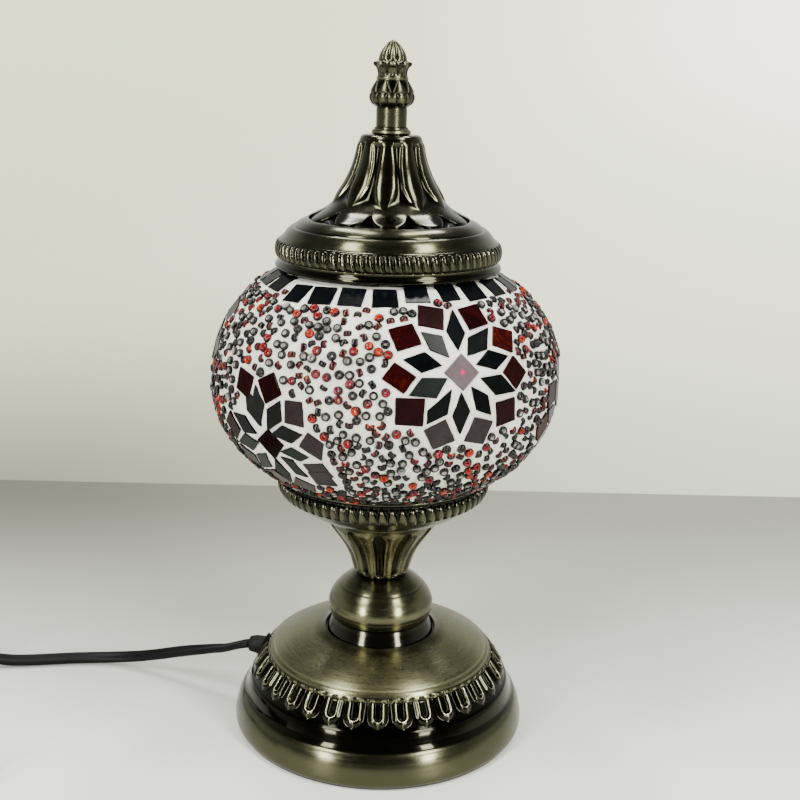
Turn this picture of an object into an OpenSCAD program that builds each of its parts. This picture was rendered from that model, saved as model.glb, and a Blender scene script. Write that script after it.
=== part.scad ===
// Mosaic glass table lamp: a beaded and tiled glass globe held in a spun brass
// cup on a turned brass stem, with a pierced lift-off cap and a screwed finial.
// Units are millimetres. The origin is on the table under the centre of the
// base, +Z is up, and the cord leaves towards -X.

/* [Globe] */
// Largest radius of the globe over its beads
globe_r = 64; // [60:0.5:68]
// Height of the globe's widest circle above the table
globe_z = 138.5; // [137:0.5:140]
// Flattening radius of the globe's lower half
globe_low = 45.3; // [44:0.1:47]
// Flattening radius of the globe's upper half
globe_up = 47.8; // [47:0.1:49]
// Wall of the blown glass
glass_t = 2; // [1.2:0.1:2.4]
// Depth of the mosaic layer over the glass, up to the bead tops
mosaic_t = 3.2; // [3:0.1:3.6]

/* [Mosaic] */
// Number of tiles in the band under the cap
rim_count = 25; // [22:1:26]
// Number of petals in a flower
petal_count = 10; // [8:1:12]
// Length of a petal tile
petal_l = 12.4; // [11:0.1:13]
// Width of a petal tile
petal_w = 6.3; // [5:0.1:7]
// Side of a square tile
square_s = 7.2; // [6:0.1:7.6]
// Side of a flower's centre tile
centre_s = 8; // [7:0.1:8.4]
// Thickness of every glass tile
tile_t = 2; // [1.6:0.1:2.2]

/* [Metalwork] */
// Wall of the spun and pressed brass
wall = 1; // [0.8:0.1:1.2]
// Radius of the foot
foot_r = 56; // [55:0.5:57]
// Number of pierced openings round the cap
arch_count = 11; // [9:1:13]
// Outer radius of the threaded lamp pipe
pipe_r = 5; // [4.8:0.1:5]
// Bore radius of the lamp pipe
pipe_bore = 3.3; // [3:0.1:3.4]

/* [Bulb] */
// Largest radius of the bulb glass
bulb_r = 11.3; // [10:0.1:12]
// Height of the socket's mouth above the table
socket_top = 121; // [119:0.5:122]

/* [Cord] */
// Width of the flat twin lead
cord_w = 5; // [4.8:0.1:5.2]
// Thickness of the flat twin lead
cord_t = 2.5; // [2.4:0.1:2.6]

/* [Hidden] */
$fn = 48;
eps = 0.01;

brass = [0.46, 0.42, 0.28];
dark_brass = [0.33, 0.30, 0.20];

// Points of a profile moved by t to its left, each along its own mitre.
function unit(v) = v / norm(v);
function left(v) = [-v[1], v[0]];
function inset(p, t) = [
    for (i = [0 : len(p) - 1])
        let (
            a = i == 0 ? unit(p[1] - p[0]) : unit(p[i] - p[i - 1]),
            b = i == len(p) - 1 ? a : unit(p[i + 1] - p[i]),
            m = unit(left(a) + left(b))
        ) p[i] + m * t / max(0.5, m * left(a))
];
function back(p) = [for (i = [len(p) - 1 : -1 : 0]) p[i]];
module turned(p) { rotate_extrude($fn = 96) polygon(p); }
module spun(p, t = wall) { turned(concat(p, back(inset(p, t)))); }
module ring(ri, ro, z0, z1) {
    translate([0, 0, z0]) difference() {
        cylinder(r = ro, h = z1 - z0);
        translate([0, 0, -1]) cylinder(r = ri, h = z1 - z0 + 2);
    }
}
module hex_nut(af, bore, z, h) {
    translate([0, 0, z]) difference() {
        cylinder(r = af / sqrt(3), h = h, $fn = 6);
        translate([0, 0, -1]) cylinder(r = bore, h = h + 2);
    }
}

// ---- globe surface -------------------------------------------------------
// The globe is a surface of revolution whose half profiles are superellipses,
// taken d below the bead tops. polar() gives the distance from the globe's
// centre at elevation e, spot() the point at azimuth a and elevation e.
gn = 2.2;
function polar(e, d) =
    let (b = (e >= 0 ? globe_up : globe_low) - d, a = globe_r - d)
    pow(pow(cos(e) / a, gn) + pow(abs(sin(e)) / b, gn), -1 / gn);
function half(e, d) = [polar(e, d) * cos(e), globe_z + polar(e, d) * sin(e)];
function arc_of(e0, e1, n, d) = [for (i = [0 : n]) half(e0 + (e1 - e0) * i / n, d)];
// Slope of the outward normal at elevation e, as an angle from +Z.
function tilt(e) =
    let (b = e >= 0 ? globe_up : globe_low)
    atan2(pow(cos(e) / globe_r, gn - 1) / globe_r * 1,
          sign(e) * pow(abs(sin(e)) / b, gn - 1) / b);
function spot(a, e, d) =
    let (h = half(e, d)) [h[0] * cos(a), h[0] * sin(a), h[1]];

e_low = -45.5;   // where the glass ends in the cup
e_high = 47.5;   // where the glass ends under the cap
tile_drop = mosaic_t - 0.08;

// A flat tile lying on the glass at azimuth a and elevation e, turned by g.
module tile_at(a, e, g) {
    translate(spot(a, e, tile_drop))
        rotate([0, tilt(e), a]) rotate([0, 0, g])
            linear_extrude(height = tile_t) children();
}

flower_r = 62;
upper_az = -66.3;
upper_el = 13.4;
lower_az = -128;
lower_el = -12;
// Azimuth and elevation of the point at distance rho and bearing t (0 is east,
// 90 is up) from a flower's centre.
function walk(a0, e0, rho, t) =
    let (
        al = rho / flower_r * 180 / PI,
        n0 = [cos(e0) * cos(a0), cos(e0) * sin(a0), sin(e0)],
        e1 = [-sin(a0), cos(a0), 0],
        e2 = cross(n0, e1),
        v = n0 * cos(al) + (e1 * cos(t) + e2 * sin(t)) * sin(al)
    ) [atan2(v[1], v[0]), asin(v[2])];
// In-plane turn that points a tile's long side away from the flower's centre.
function away(a0, e0, rho, t) =
    let (p = walk(a0, e0, rho, t), q = walk(a0, e0, rho + 1, t))
    atan2((q[0] - p[0]) * cos(p[1]), -(q[1] - p[1]));
flowers = [for (k = [0 : 2]) each [
    [upper_az + 120 * k, upper_el], [lower_az + 120 * k, lower_el]]];
step = 360 / petal_count;

module rhombus(l, w) { polygon([[-l / 2, 0], [0, -w / 2], [l / 2, 0], [0, w / 2]]); }

// ---- cap and finial ------------------------------------------------------
module finial() {
    color(brass) difference() {
        turned([[0, 233.5], [5.9, 233.5], [7.2, 234.9], [7.75, 237], [7.2, 239.6],
                [5.9, 241.8], [5.0, 243.8], [5.3, 245.4], [6.3, 247], [6.2, 248.2],
                [4.9, 248.8], [4.4, 250.6], [3.4, 252.5], [2.2, 254.5], [0.6, 255.9], [0, 255.9]]);
        translate([0, 0, 230]) cylinder(r = 2.05, h = 11.5);
    }
}

module neck_sleeve() { color(dark_brass) ring(2.2, 5.4, 226.8, 233.5); }

module neck_ferrule() {
    color(brass) difference() {
        turned([[0, 224.2], [6.6, 224.2], [6.7, 225.0], [6.3, 226.0], [5.8, 226.8], [0, 226.8]]);
        translate([0, 0, 220]) cylinder(r = 2.2, h = 10);
    }
}

module cap_stud() { color("silver") translate([0, 0, 186]) cylinder(r = 2, h = 55); }

bell = [[34.6, 194.9], [31.6, 195.3], [28.2, 196.1], [25.7, 197], [23.6, 198], [21.9, 199.1],
        [20.6, 200.4], [18.9, 202.9], [17.2, 205.7], [16, 207.2], [14.6, 209.9], [13.4, 212.7],
        [12.5, 215.5], [11.7, 218.3], [11.2, 220.2], [10.6, 222.3], [9.5, 223.7], [8.2, 224.2], [2.3, 224.2]];
// A vertical bore shaped like a triangle with curved sides, narrow towards the
// neck, between two lobes.
module arch_cut() {
    translate([0, 0, 190]) linear_extrude(height = 14)
        polygon([[22.7, 0], [23.1, -0.8], [25.3, -1.7], [27.3, -3.2], [28.6, -4.7], [28.95, -4.3],
                 [28.95, 4.3], [28.6, 4.7], [27.3, 3.2], [25.3, 1.7], [23.1, 0.8]]);
}
module cap_bell() {
    color(brass) difference() {
        spun(bell, 0.9);
        for (k = [0 : arch_count - 1])
            rotate([0, 0, -90 + (k + 0.5) * 360 / arch_count]) arch_cut();
    }
}

module cap_skirt() {
    color(brass) turned([
        [38.6, 178.3], [39.5, 177.7], [40.3, 177.6], [40.5, 178.2], [40.1, 178.9], [39.6, 179.5], [39.7, 180.6],
        [40.2, 182.4], [40.3, 184.8], [39.8, 186.6], [39.0, 188.2], [38.0, 190.0], [36.7, 192.0], [35.4, 193.6],
        [34.4, 193.9], [30.2, 193.9], [30.2, 192.9], [33.9, 192.9], [34.8, 192.6], [35.8, 191.4], [36.9, 189.5],
        [37.8, 187.7], [38.5, 186.2], [38.9, 184.8], [38.9, 183.2], [38.6, 181.6], [38.4, 180.4], [38.2, 179.5]]);
}

spider_z = 190;
module cap_washer() { color("silver") ring(2.2, 7, 222.3, 223.2); }
module cap_nuts() {
    color("silver") {
        hex_nut(7, 2.05, 219.1, 3.2);
        hex_nut(7, 2.05, spider_z + 1.2, 3.2);
        hex_nut(7, 2.05, spider_z - 3.2, 3.2);
    }
}

// Flat three-armed strap on the stud, across the inside of the skirt.
module cap_spider() {
    color("silver") difference() {
        union() {
            translate([0, 0, spider_z]) cylinder(r = 7, h = 1.2);
            for (k = [0 : 2]) rotate([0, 0, 30 + 120 * k])
                translate([4, -3, spider_z]) cube([26.4, 6, 1.2]);
        }
        translate([0, 0, spider_z - 1]) cylinder(r = 2.1, h = 4);
        for (k = [0 : 2]) rotate([0, 0, 30 + 120 * k])
            translate([26, 0, spider_z - 1]) cylinder(r = 1.1, h = 4);
    }
}
// Bent leaf springs riveted under the strap; their knees sit in the glass mouth.
module cap_springs() {
    color("lightsteelblue") for (k = [0 : 2]) rotate([0, 0, 30 + 120 * k])
        difference() {
            translate([0, 2.5, 0]) rotate([90, 0, 0]) linear_extrude(height = 5)
                polygon([[22.5, 190], [30.2, 190], [31.0, 189.3], [31.4, 182], [32.8, 175.6],
                         [30.4, 169.6], [29.7, 169.9], [32.0, 175.6], [30.6, 181.8], [30.2, 188.9], [29.9, 189.2], [22.5, 189.2]]);
            translate([26, 0, 185]) cylinder(r = 1.1, h = 10);
        }
}
module cap_rivets() {
    color("silver") for (k = [0 : 2]) rotate([0, 0, 30 + 120 * k]) translate([26, 0, 0]) {
        translate([0, 0, 188.3]) cylinder(r = 2, h = 0.9);
        translate([0, 0, 189]) cylinder(r = 1.05, h = 2.4);
        translate([0, 0, 191.2]) cylinder(r = 2, h = 0.9);
    }
}

// ---- globe and mosaic ----------------------------------------------------
module globe_glass() {
    color([0.9, 0.92, 0.9, 0.6])
        turned(concat(arc_of(e_low, e_high, 62, mosaic_t),
                      back(arc_of(e_low, e_high, 31, mosaic_t + glass_t))));
}
module globe_grout() {
    color([0.86, 0.85, 0.80])
        turned(concat(arc_of(e_low + 1.5, e_high - 1.5, 30, 1.25),
                      back(arc_of(e_low + 1.5, e_high - 1.5, 60, mosaic_t))));
}
module rim_tiles() {
    rim_pitch = 360 / rim_count;
    color([0.05, 0.05, 0.06]) for (k = [0 : rim_count - 1])
        tile_at(-91 + k * rim_pitch, 40.8, 0)
            polygon([[-4.1, -3.8], [4.1, -4.3], [4.1, 4.0], [-4.1, 3.9]]);
}
module flower_centre_tiles() {
    color([0.52, 0.42, 0.46]) for (f = flowers)
        tile_at(f[0], f[1], 0) rotate(45) square(centre_s, center = true);
}
module flower_petal_tiles() {
    color([0.05, 0.06, 0.07]) for (f = flowers) for (k = [0 : petal_count - 1]) {
        t = 87 + step * k;
        p = walk(f[0], f[1], 13.1, t);
        tile_at(p[0], p[1], away(f[0], f[1], 13.1, t)) rhombus(petal_l, petal_w);
    }
}
// The squares nearest the top band have their upper corner nipped off to clear it.
module flower_square_tiles() {
    color([0.30, 0.05, 0.07]) difference() {
        for (f = flowers) for (k = [0 : petal_count - 1]) {
            t = 87 + step * (k + 0.5);
            p = walk(f[0], f[1], 20.9, t);
            tile_at(p[0], p[1], away(f[0], f[1], 20.9, t)) rotate(45) square(square_s, center = true);
        }
        translate([0, 0, globe_z]) rotate_extrude($fn = 96)
            polygon([[30, 30 * tan(35.2)], [75, 75 * tan(35.2)], [75, 75 * tan(41)], [30, 30 * tan(41)]]);
    }
}
// The field of seed beads between the flowers, as one closed layer.
module seed_beads() {
    color([0.55, 0.30, 0.28]) difference() {
        turned(concat(arc_of(-42.5, 34.2, 26, 0), back(arc_of(-42.5, 34.2, 26, 1.25))));
        for (f = flowers)
            translate([0, 0, globe_z]) rotate([0, 90 - f[1], f[0]]) translate([0, 0, 44]) cylinder(r = 25.6, h = 40);
    }
}

// ---- cup, stem and base --------------------------------------------------
module gallery_cup() {
    color(brass) turned([
        [5.2, 86.6], [22.8, 86.6], [22.9, 87.6], [24.6, 88.1], [28.4, 89.2], [32.6, 91.2], [35.4, 93.4], [37.8, 94.9],
        [39.3, 96.4], [39.9, 98], [39.4, 99.5], [38.9, 99.9], [39.6, 100.3], [39.3, 101.7], [38.2, 101.7],
        [37.9, 99.2], [37.4, 98.0], [36.4, 96.9], [34.2, 95], [31.6, 92.6], [28.0, 90.8], [24.4, 89.4],
        [22.4, 88.6], [5.2, 88.6]]);
}
// Packing ring that beds the globe's glass in the cup.
module gallery_gasket() {
    color([0.12, 0.12, 0.12]) turned([[32.0, 93.2], [34.0, 94.95], [36.2, 97.1], [37.2, 98.2], [37.6, 99.6], [37.7, 101.0],
        [36.4, 101.2], [35.3, 102.3], [33.7, 103.8], [31.8, 103.2], [31.4, 96]]);
}
module fluted_stem() {
    color(brass) difference() {
        spun([[8.6, 60.2], [9.9, 60.6], [10.7, 62.4], [11.5, 66], [12.5, 69.2], [14.1, 72.8],
              [16.8, 76.4], [19.6, 79.6], [21.6, 83], [22.4, 85.8], [22.4, 86.6]], 1.2);
        translate([0, 0, 50]) cylinder(r = pipe_r + 0.2, h = 20);
    }
}
module stem_ball() {
    color(brass) spun([[18.6, 43], [21.1, 43], [21.3, 45], [20.6, 47.6], [19.3, 50.6], [17.4, 53.8],
                       [15.1, 56.8], [12.7, 59.0], [10.6, 60.2], [5.3, 60.2]], 1.2);
}
module stem_collar() {
    color(dark_brass) turned([[5.3, 37.2], [20.4, 37.2], [20.9, 38.3], [20.7, 39.6], [19.7, 40.4], [19.5, 41.2],
                              [20.1, 42.2], [20.0, 43], [5.3, 43]]);
}
foot = [[foot_r - 1.0, 0.9], [foot_r - 0.2, 3], [foot_r, 6], [foot_r - 0.5, 9], [54.4, 11.4],
        [53.0, 12.7], [51.7, 13.2], [51.3, 15.6], [51.2, 16.6], [51.2, 18.2], [50.2, 19.4], [48.6, 19.8], [46.4, 23.4],
        [44.4, 26.6], [43.0, 28.0], [42.6, 29.6], [41.4, 30.6], [39.6, 31.4], [37.2, 33.2], [33.0, 35],
        [28.0, 36.3], [22.0, 37.2], [5.3, 37.2]];
g_r = 46.15; g_az = 170.3; gz = 23.8;   // where the lead leaves the shell
gx = g_r * cos(g_az); gy = g_r * sin(g_az);
module at_gland() { translate([gx, gy, gz]) rotate([0, 0, g_az]) rotate([0, 90, 0]) children(); }
module base_shell() {
    color(brass) difference() {
        spun(foot, wall);
        at_gland() translate([0, 0, -12]) cylinder(r = 3.6, h = 24);
    }
}
module base_weight() { color([0.25, 0.25, 0.26]) ring(19.5, 43.5, 2.0, 15.5); }
module base_cover() {
    color([0.35, 0.35, 0.36]) turned([[5.15, 5.4], [15.4, 5.4], [17.6, 1.0], [53.4, 1.0], [53.4, 2.0],
                                      [18.2, 2.0], [16.0, 6.4], [5.15, 6.4]]);
}
module base_felt() { color([0.05, 0.05, 0.05]) ring(17.6, 54.6, 0, 0.9); }

module lamp_pipe() { color([0.75, 0.72, 0.6]) difference() {
    ring(pipe_bore, pipe_r, 1.8, 95.5);
    at_pipe_slot();
} }
// Slot through which the lead enters the pipe inside the base.
module at_pipe_slot() { translate([-6, -2.4, 17]) cube([6, 4.8, 10]); }
module pipe_nuts() {
    color([0.75, 0.72, 0.6]) {
        hex_nut(14, pipe_r + 0.05, 2.2, 3.2);
        hex_nut(14, pipe_r + 0.05, 89.6, 3);
    }
}
module pipe_washers() {
    color("silver") {
        ring(5.15, 11, 6.4, 7.4);
        ring(5.15, 9.5, 88.6, 89.6);
    }
}

// ---- socket and bulb -----------------------------------------------------
module socket_cup() {
    color([0.75, 0.72, 0.6]) difference() {
        turned([[5.05, 92.6], [12.2, 92.6], [13.2, 93.6], [13.2, 99.5], [12.3, 99.5], [12.3, 95.5], [5.05, 95.5]]);
    }
}
module socket_body() {
    color([0.07, 0.07, 0.07]) difference() {
        turned([[4.2, 95.5], [12.1, 95.5], [12.1, 100.5], [11.2, 101.5], [10.6, 117], [10.6, socket_top],
                [8.5, socket_top], [8.5, 104.5], [1.05, 104.5], [1.05, 99.5], [4.2, 99.5]]);
        for (s = [-1, 1]) translate([s * 6.6, 0, 94]) cylinder(r = 1.05, h = 12);
    }
}
module socket_shell() {
    color([0.8, 0.7, 0.35]) difference() {
        turned([[2.6, 104.5], [8.4, 104.5], [8.4, 119.6], [6.6, 119.6], [6.6, 106.1], [2.6, 106.1]]);
        for (s = [-1, 1]) translate([s * 6.6, 0, 100]) cylinder(r = 1.05, h = 5.4);
    }
}
module socket_contact() {
    color([0.8, 0.7, 0.35]) {
        translate([0, 0, 98.2]) cylinder(r = 1.0, h = 8.4);
        translate([0, 0, 104.6]) cylinder(r = 2.2, h = 1.2);
    }
}
module socket_screws() {
    color("silver") for (s = [-1, 1]) translate([s * 6.6, 0, 0]) {
        translate([0, 0, 96.2]) cylinder(r = 1.0, h = 9.0);
    }
}

bulb_g = [[5.7, 120.4], [6.0, 122.0], [6.6, 124.2], [8.6, 128.4], [10.6, 133.4], [bulb_r, 138.6], [10.9, 144.2],
          [9.4, 149.8], [7.0, 154.4], [4.2, 157.8], [1.6, 159.8], [0.01, 160.2]];
module bulb_glass() {
    color([0.95, 0.95, 0.9, 0.5]) turned(concat([for (i = [0 : 10]) bulb_g[i]], [[0, 160.2], [0, 159.4]],
        [[1.4, 159.0], [3.8, 157.1], [6.4, 153.9], [8.7, 149.5], [10.1, 144.1], [bulb_r - 0.8, 138.6], [9.8, 133.6],
         [7.8, 128.8], [5.9, 124.4], [5.2, 122.2], [5.0, 120.4]]));
}
// Glass foot of the bulb with its two support wires and filament bar.
module bulb_mount() {
    color([0.85, 0.85, 0.8]) {
        translate([0, 0, 119.4]) cylinder(r1 = 4.9, r2 = 1.6, h = 10);
        for (s = [-1, 1]) translate([s * 1.1, 0, 129]) cylinder(r = 0.35, h = 9);
        translate([-4.2, 0, 138.2]) rotate([0, 90, 0]) cylinder(r = 0.5, h = 8.4);
    }
}
module bulb_screw_cap() {
    color([0.75, 0.76, 0.78]) turned([[4.2, 108.2], [5.9, 108.9], [6.2, 110.2], [5.8, 111.1], [6.2, 112], [5.8, 112.9],
        [6.2, 113.8], [5.8, 114.7], [6.2, 115.6], [5.8, 116.5], [6.2, 117.4], [6.2, 120.4], [4.9, 120.4],
        [4.9, 117], [4.9, 109.6], [4.2, 109.2]]);
}
module bulb_insulator() { color([0.08, 0.08, 0.09]) translate([0, 0, 107.5]) cylinder(r1 = 2.6, r2 = 4.15, h = 1.5); }
module bulb_contact() { color([0.75, 0.75, 0.72]) translate([0, 0, 106.8]) cylinder(r1 = 1.4, r2 = 2, h = 0.7); }

// ---- cord, switch and plug -----------------------------------------------
// A flat lead swept along a route: eight-sided rings of half width w and half
// thickness t, kept level, with the wide side horizontal.
function ccw_ring(p, dir, w, t) =
    let (d = unit(dir), s0 = cross([0, 0, 1], d), s = norm(s0) < 0.2 ? [0, 1, 0] : unit(s0), u = cross(d, s))
    [for (c = [[1, 0.35], [0.72, 1], [-0.72, 1], [-1, 0.35], [-1, -0.35], [-0.72, -1], [0.72, -1], [1, -0.35]])
        p + s * c[0] * w + u * c[1] * t];
module lead(route, w, t) {
    n = len(route);
    rings = [for (i = [0 : n - 1])
        ccw_ring(route[i], i == 0 ? route[1] - route[0] : i == n - 1 ? route[i] - route[i - 1]
                 : unit(route[i + 1] - route[i]) + unit(route[i] - route[i - 1]), w, t)];
    pts = [for (r = rings) each r];
    polyhedron(points = pts, faces = concat(
        [[for (j = [0 : 7]) j]],
        [[for (j = [7 : -1 : 0]) (n - 1) * 8 + j]],
        [for (i = [0 : n - 2]) for (j = [0 : 7]) let (k = (j + 1) % 8)
            each [[i * 8 + j, (i + 1) * 8 + k, i * 8 + k], [i * 8 + j, (i + 1) * 8 + j, (i + 1) * 8 + k]]]),
        convexity = 10);
}

// Rubber relief: a sleeve inside, a groove that grips the shell's sloping wall,
// a washer lying on that slope, and a short taper outside.
module cord_strain_relief() {
    color([0.05, 0.05, 0.05]) at_gland() {
        rotate_extrude()
            polygon([[0, -17], [2.9, -17], [3.9, -12], [4.8, -9], [4.8, -5.0], [3.5, -5.0], [3.5, 3.4],
                     [3.3, 4.8], [2.9, 6.2], [0, 6.2]]);
        rotate([0, -32, 0]) translate([0, 0, 0.12]) cylinder(r = 4.7, h = 1.5);
    }
}

// Lead inside the base: from the relief to the pipe's slot and up the pipe.
inner_route = [[-28.7, 4.9, 23.8], [-24, 4.1, 23.5], [-19, 3.2, 22.8], [-14, 2.2, 22.4], [-10, 1.2, 22.2], [-6.4, 0.3, 22.2]];
module inner_lead() {
    color([0.05, 0.05, 0.05]) {
        lead(inner_route, 2.1, 1.2);
        translate([-6.6, 0, 22.2]) rotate([0, 90, 0]) cylinder(r = 1.9, h = 6.6);
        translate([0, 0, 20.5]) cylinder(r = 2.4, h = 77);
    }
}

// Free lead: from the relief down to the table and along it to the switch.
run_route = [[-51.6, 8.8, 23.8], [-54.6, 9.6, 23.0], [-58, 11.1, 21.4], [-62, 13.1, 19.3], [-67, 15.9, 17.2], [-73, 19.1, 14.6],
             [-82, 23.8, 10.8], [-91, 28.0, 7.2], [-100, 31.4, 4.3], [-109, 33.8, 2.4], [-118, 34.7, 1.5],
             [-128, 34.2, 1.3], [-138, 32.8, 1.3], [-148, 31.2, 1.4], [-155, 30.2, 1.8], [-161, 29.4, 2.9], [-168, 28.6, 4.6]];
module cord_run() { color([0.05, 0.05, 0.05]) lead(run_route, cord_w / 2, cord_t / 2); }

// In-line switch: two moulded halves, a rocker on its own pins, two screws.
sw = [-195, 28.2];     // middle of the switch
sw_l = 54; sw_w = 22;
module at_switch() { translate([sw[0], sw[1], 0]) children(); }
module sw_outline() {
    polygon([[-27, -4.5], [-22, -9], [-14, -11], [14, -11], [22, -9], [27, -4.5],
             [27, 4.5], [22, 9], [14, 11], [-14, 11], [-22, 9], [-27, 4.5]]);
}
pin_z = 11.0;
module switch_base() {
    color([0.06, 0.06, 0.06]) at_switch() difference() {
        linear_extrude(height = 5) sw_outline();
        // well for the contacts
        translate([-12, -7, 1.4]) cube([24, 14, 4]);
        for (s = [-1, 1]) {
            // half of the lead's channel at each end
            translate([s > 0 ? 11.9 : -27.5, -2.6, 3.35]) cube([15.6, 5.2, 2]);
            translate([s * 17.5, s * 6, -1]) cylinder(r = 1.3, h = 8);
            translate([s * 17.5, s * 6, -1]) cylinder(r = 2.6, h = 2.6);
        }
    }
}
module switch_cover() {
    color([0.06, 0.06, 0.06]) at_switch() difference() {
        translate([0, 0, 5]) linear_extrude(height = 8.2) sw_outline();
        translate([-12, -7, 4]) cube([24, 14, 4.6]);
        // rocker's window
        translate([-8.2, -5.4, 4]) cube([16.4, 10.8, 12]);
        translate([0, 7.6, pin_z]) rotate([90, 0, 0]) cylinder(r = 1.25, h = 15.2);
        for (s = [-1, 1]) {
            translate([s > 0 ? 11.9 : -27.5, -2.6, 4]) cube([15.6, 5.2, 2.35]);
            translate([s * 17.5, s * 6, 4]) cylinder(r = 0.95, h = 7);
        }
    }
}
module switch_rocker() {
    color([0.12, 0.12, 0.12]) at_switch() translate([0, 0, pin_z]) rotate([0, 8, 0]) {
        translate([0, 4.9, 0]) rotate([90, 0, 0]) linear_extrude(height = 9.8)
            polygon([[-7.3, -1.6], [-2.5, -2.6], [2.5, -2.6], [7.3, -1.6], [7.5, 3.4], [4, 2.5], [0, 2.2], [-4, 2.5], [-7.5, 3.4]]);
        translate([0, 7.2, 0]) rotate([90, 0, 0]) cylinder(r = 1.2, h = 14.4);
    }
}
module switch_contacts() {
    color([0.8, 0.7, 0.4]) at_switch() for (s = [-1, 1])
        translate([s > 0 ? 4.5 : -11.5, -2, 1.4]) difference() {
            cube([7, 4, 2.6]);
            translate([-1, -1, 0.8]) cube([9, 6, 1]);
        }
}
module switch_screws() {
    color("silver") at_switch() for (s = [-1, 1]) translate([s * 17.5, s * 6, 0]) {
        translate([0, 0, 0.3]) cylinder(r = 2.4, h = 1.3);
        translate([0, 0, 1.5]) cylinder(r = 0.9, h = 8.5);
    }
}

// Lead from the switch round to the coil.
coil_c = [-208.8, -23];
coil_in = 25.2;  // inner radius of the bundle of turns
coil_out = 36;   // outer radius
coil_h = 10.6;
link_route = [[-222, 28.2, 4.6], [-226, 28.2, 3.2], [-230.5, 27.4, 1.8], [-235.2, 24.6, 1.3], [-239.2, 19.6, 1.3],
              [-241.4, 13.2, 1.3], [-242, 5, 1.3], [-242, -3, 1.3], [-242, -11, 1.3]];
module cord_link() { color([0.05, 0.05, 0.05]) lead(link_route, cord_w / 2, cord_t / 2); }
module cord_coil() {
    color([0.05, 0.05, 0.05]) translate([coil_c[0], coil_c[1], 0]) ring(coil_in, coil_out, 0, coil_h);
}
tail_route = [[-203, -56.2, 9.0], [-197, -56.2, 8.2], [-191, -56.2, 7.1], [-187, -56.2, 6.8], [-185, -56.2, 6.8]];
module cord_tail() { color([0.05, 0.05, 0.05]) lead(tail_route, cord_w / 2, cord_t / 2); }
module cord_tie() {
    color([0.1, 0.1, 0.1]) translate([coil_c[0], coil_c[1], 0]) difference() {
        translate([coil_in - 0.7, -3, 0]) cube([coil_out - coil_in + 1.4, 6, coil_h + 0.6]);
        ring(coil_in, coil_out, -1, coil_h);
    }
}
module plug_body() {
    color([0.06, 0.06, 0.06]) {
        translate([0, -56.2, 0]) linear_extrude(height = 13.6)
            polygon([[-181, -4.5], [-176, -8], [-170, -9.6], [-157, -9.6], [-155, -8.6], [-155, 8.6], [-157, 9.6], [-170, 9.6], [-176, 8], [-181, 4.5]]);
        translate([-185, -56.2, 6.8]) rotate([0, 90, 0]) cylinder(r1 = 3.4, r2 = 4.6, h = 4);
    }
}
module plug_blades() {
    color([0.8, 0.75, 0.5]) for (s = [-1, 1]) difference() {
        translate([-155, -56.2 + s * 6.35 - 0.75, 6.8 - (s > 0 ? 3.95 : 3.15)]) cube([16, 1.5, s > 0 ? 7.9 : 6.3]);
        translate([-142.5, -56.2 + s * 6.35 + 2, 6.8]) rotate([90, 0, 0]) cylinder(r = 1.6, h = 4);
    }
}

finial();
neck_sleeve();
neck_ferrule();
cap_stud();
cap_bell();
cap_skirt();
cap_washer();
cap_nuts();
cap_spider();
cap_springs();
cap_rivets();
globe_glass();
globe_grout();
rim_tiles();
flower_centre_tiles();
flower_petal_tiles();
flower_square_tiles();
seed_beads();
gallery_cup();
gallery_gasket();
fluted_stem();
stem_ball();
stem_collar();
base_shell();
base_weight();
base_cover();
base_felt();
lamp_pipe();
pipe_nuts();
pipe_washers();
socket_cup();
socket_body();
socket_shell();
socket_contact();
socket_screws();
bulb_glass();
bulb_mount();
bulb_screw_cap();
bulb_insulator();
bulb_contact();
inner_lead();
cord_strain_relief();
cord_run();
cord_link();
cord_coil();
cord_tail();
cord_tie();
switch_base();
switch_cover();
switch_rocker();
switch_contacts();
switch_screws();
plug_body();
plug_blades();
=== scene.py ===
import math
import random

import bpy
import numpy as np
from mathutils import Matrix, Vector

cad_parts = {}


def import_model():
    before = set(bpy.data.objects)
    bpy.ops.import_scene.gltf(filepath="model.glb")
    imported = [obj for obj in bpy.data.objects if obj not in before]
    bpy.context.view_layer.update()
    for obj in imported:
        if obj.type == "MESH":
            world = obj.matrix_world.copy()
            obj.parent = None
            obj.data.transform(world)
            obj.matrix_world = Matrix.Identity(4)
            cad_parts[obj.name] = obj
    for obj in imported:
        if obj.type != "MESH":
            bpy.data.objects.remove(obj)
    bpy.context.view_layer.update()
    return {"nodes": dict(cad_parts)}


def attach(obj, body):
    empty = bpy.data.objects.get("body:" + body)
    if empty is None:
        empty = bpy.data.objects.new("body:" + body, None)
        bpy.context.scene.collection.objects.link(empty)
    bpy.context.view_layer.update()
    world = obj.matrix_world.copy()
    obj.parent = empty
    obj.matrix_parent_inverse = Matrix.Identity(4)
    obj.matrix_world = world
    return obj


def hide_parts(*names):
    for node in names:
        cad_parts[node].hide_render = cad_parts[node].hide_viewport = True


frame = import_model()
NODES = frame["nodes"]
MM = 0.001
PI = math.pi
SC = bpy.context.scene
rng = np.random.default_rng(11)
random.seed(11)

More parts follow.
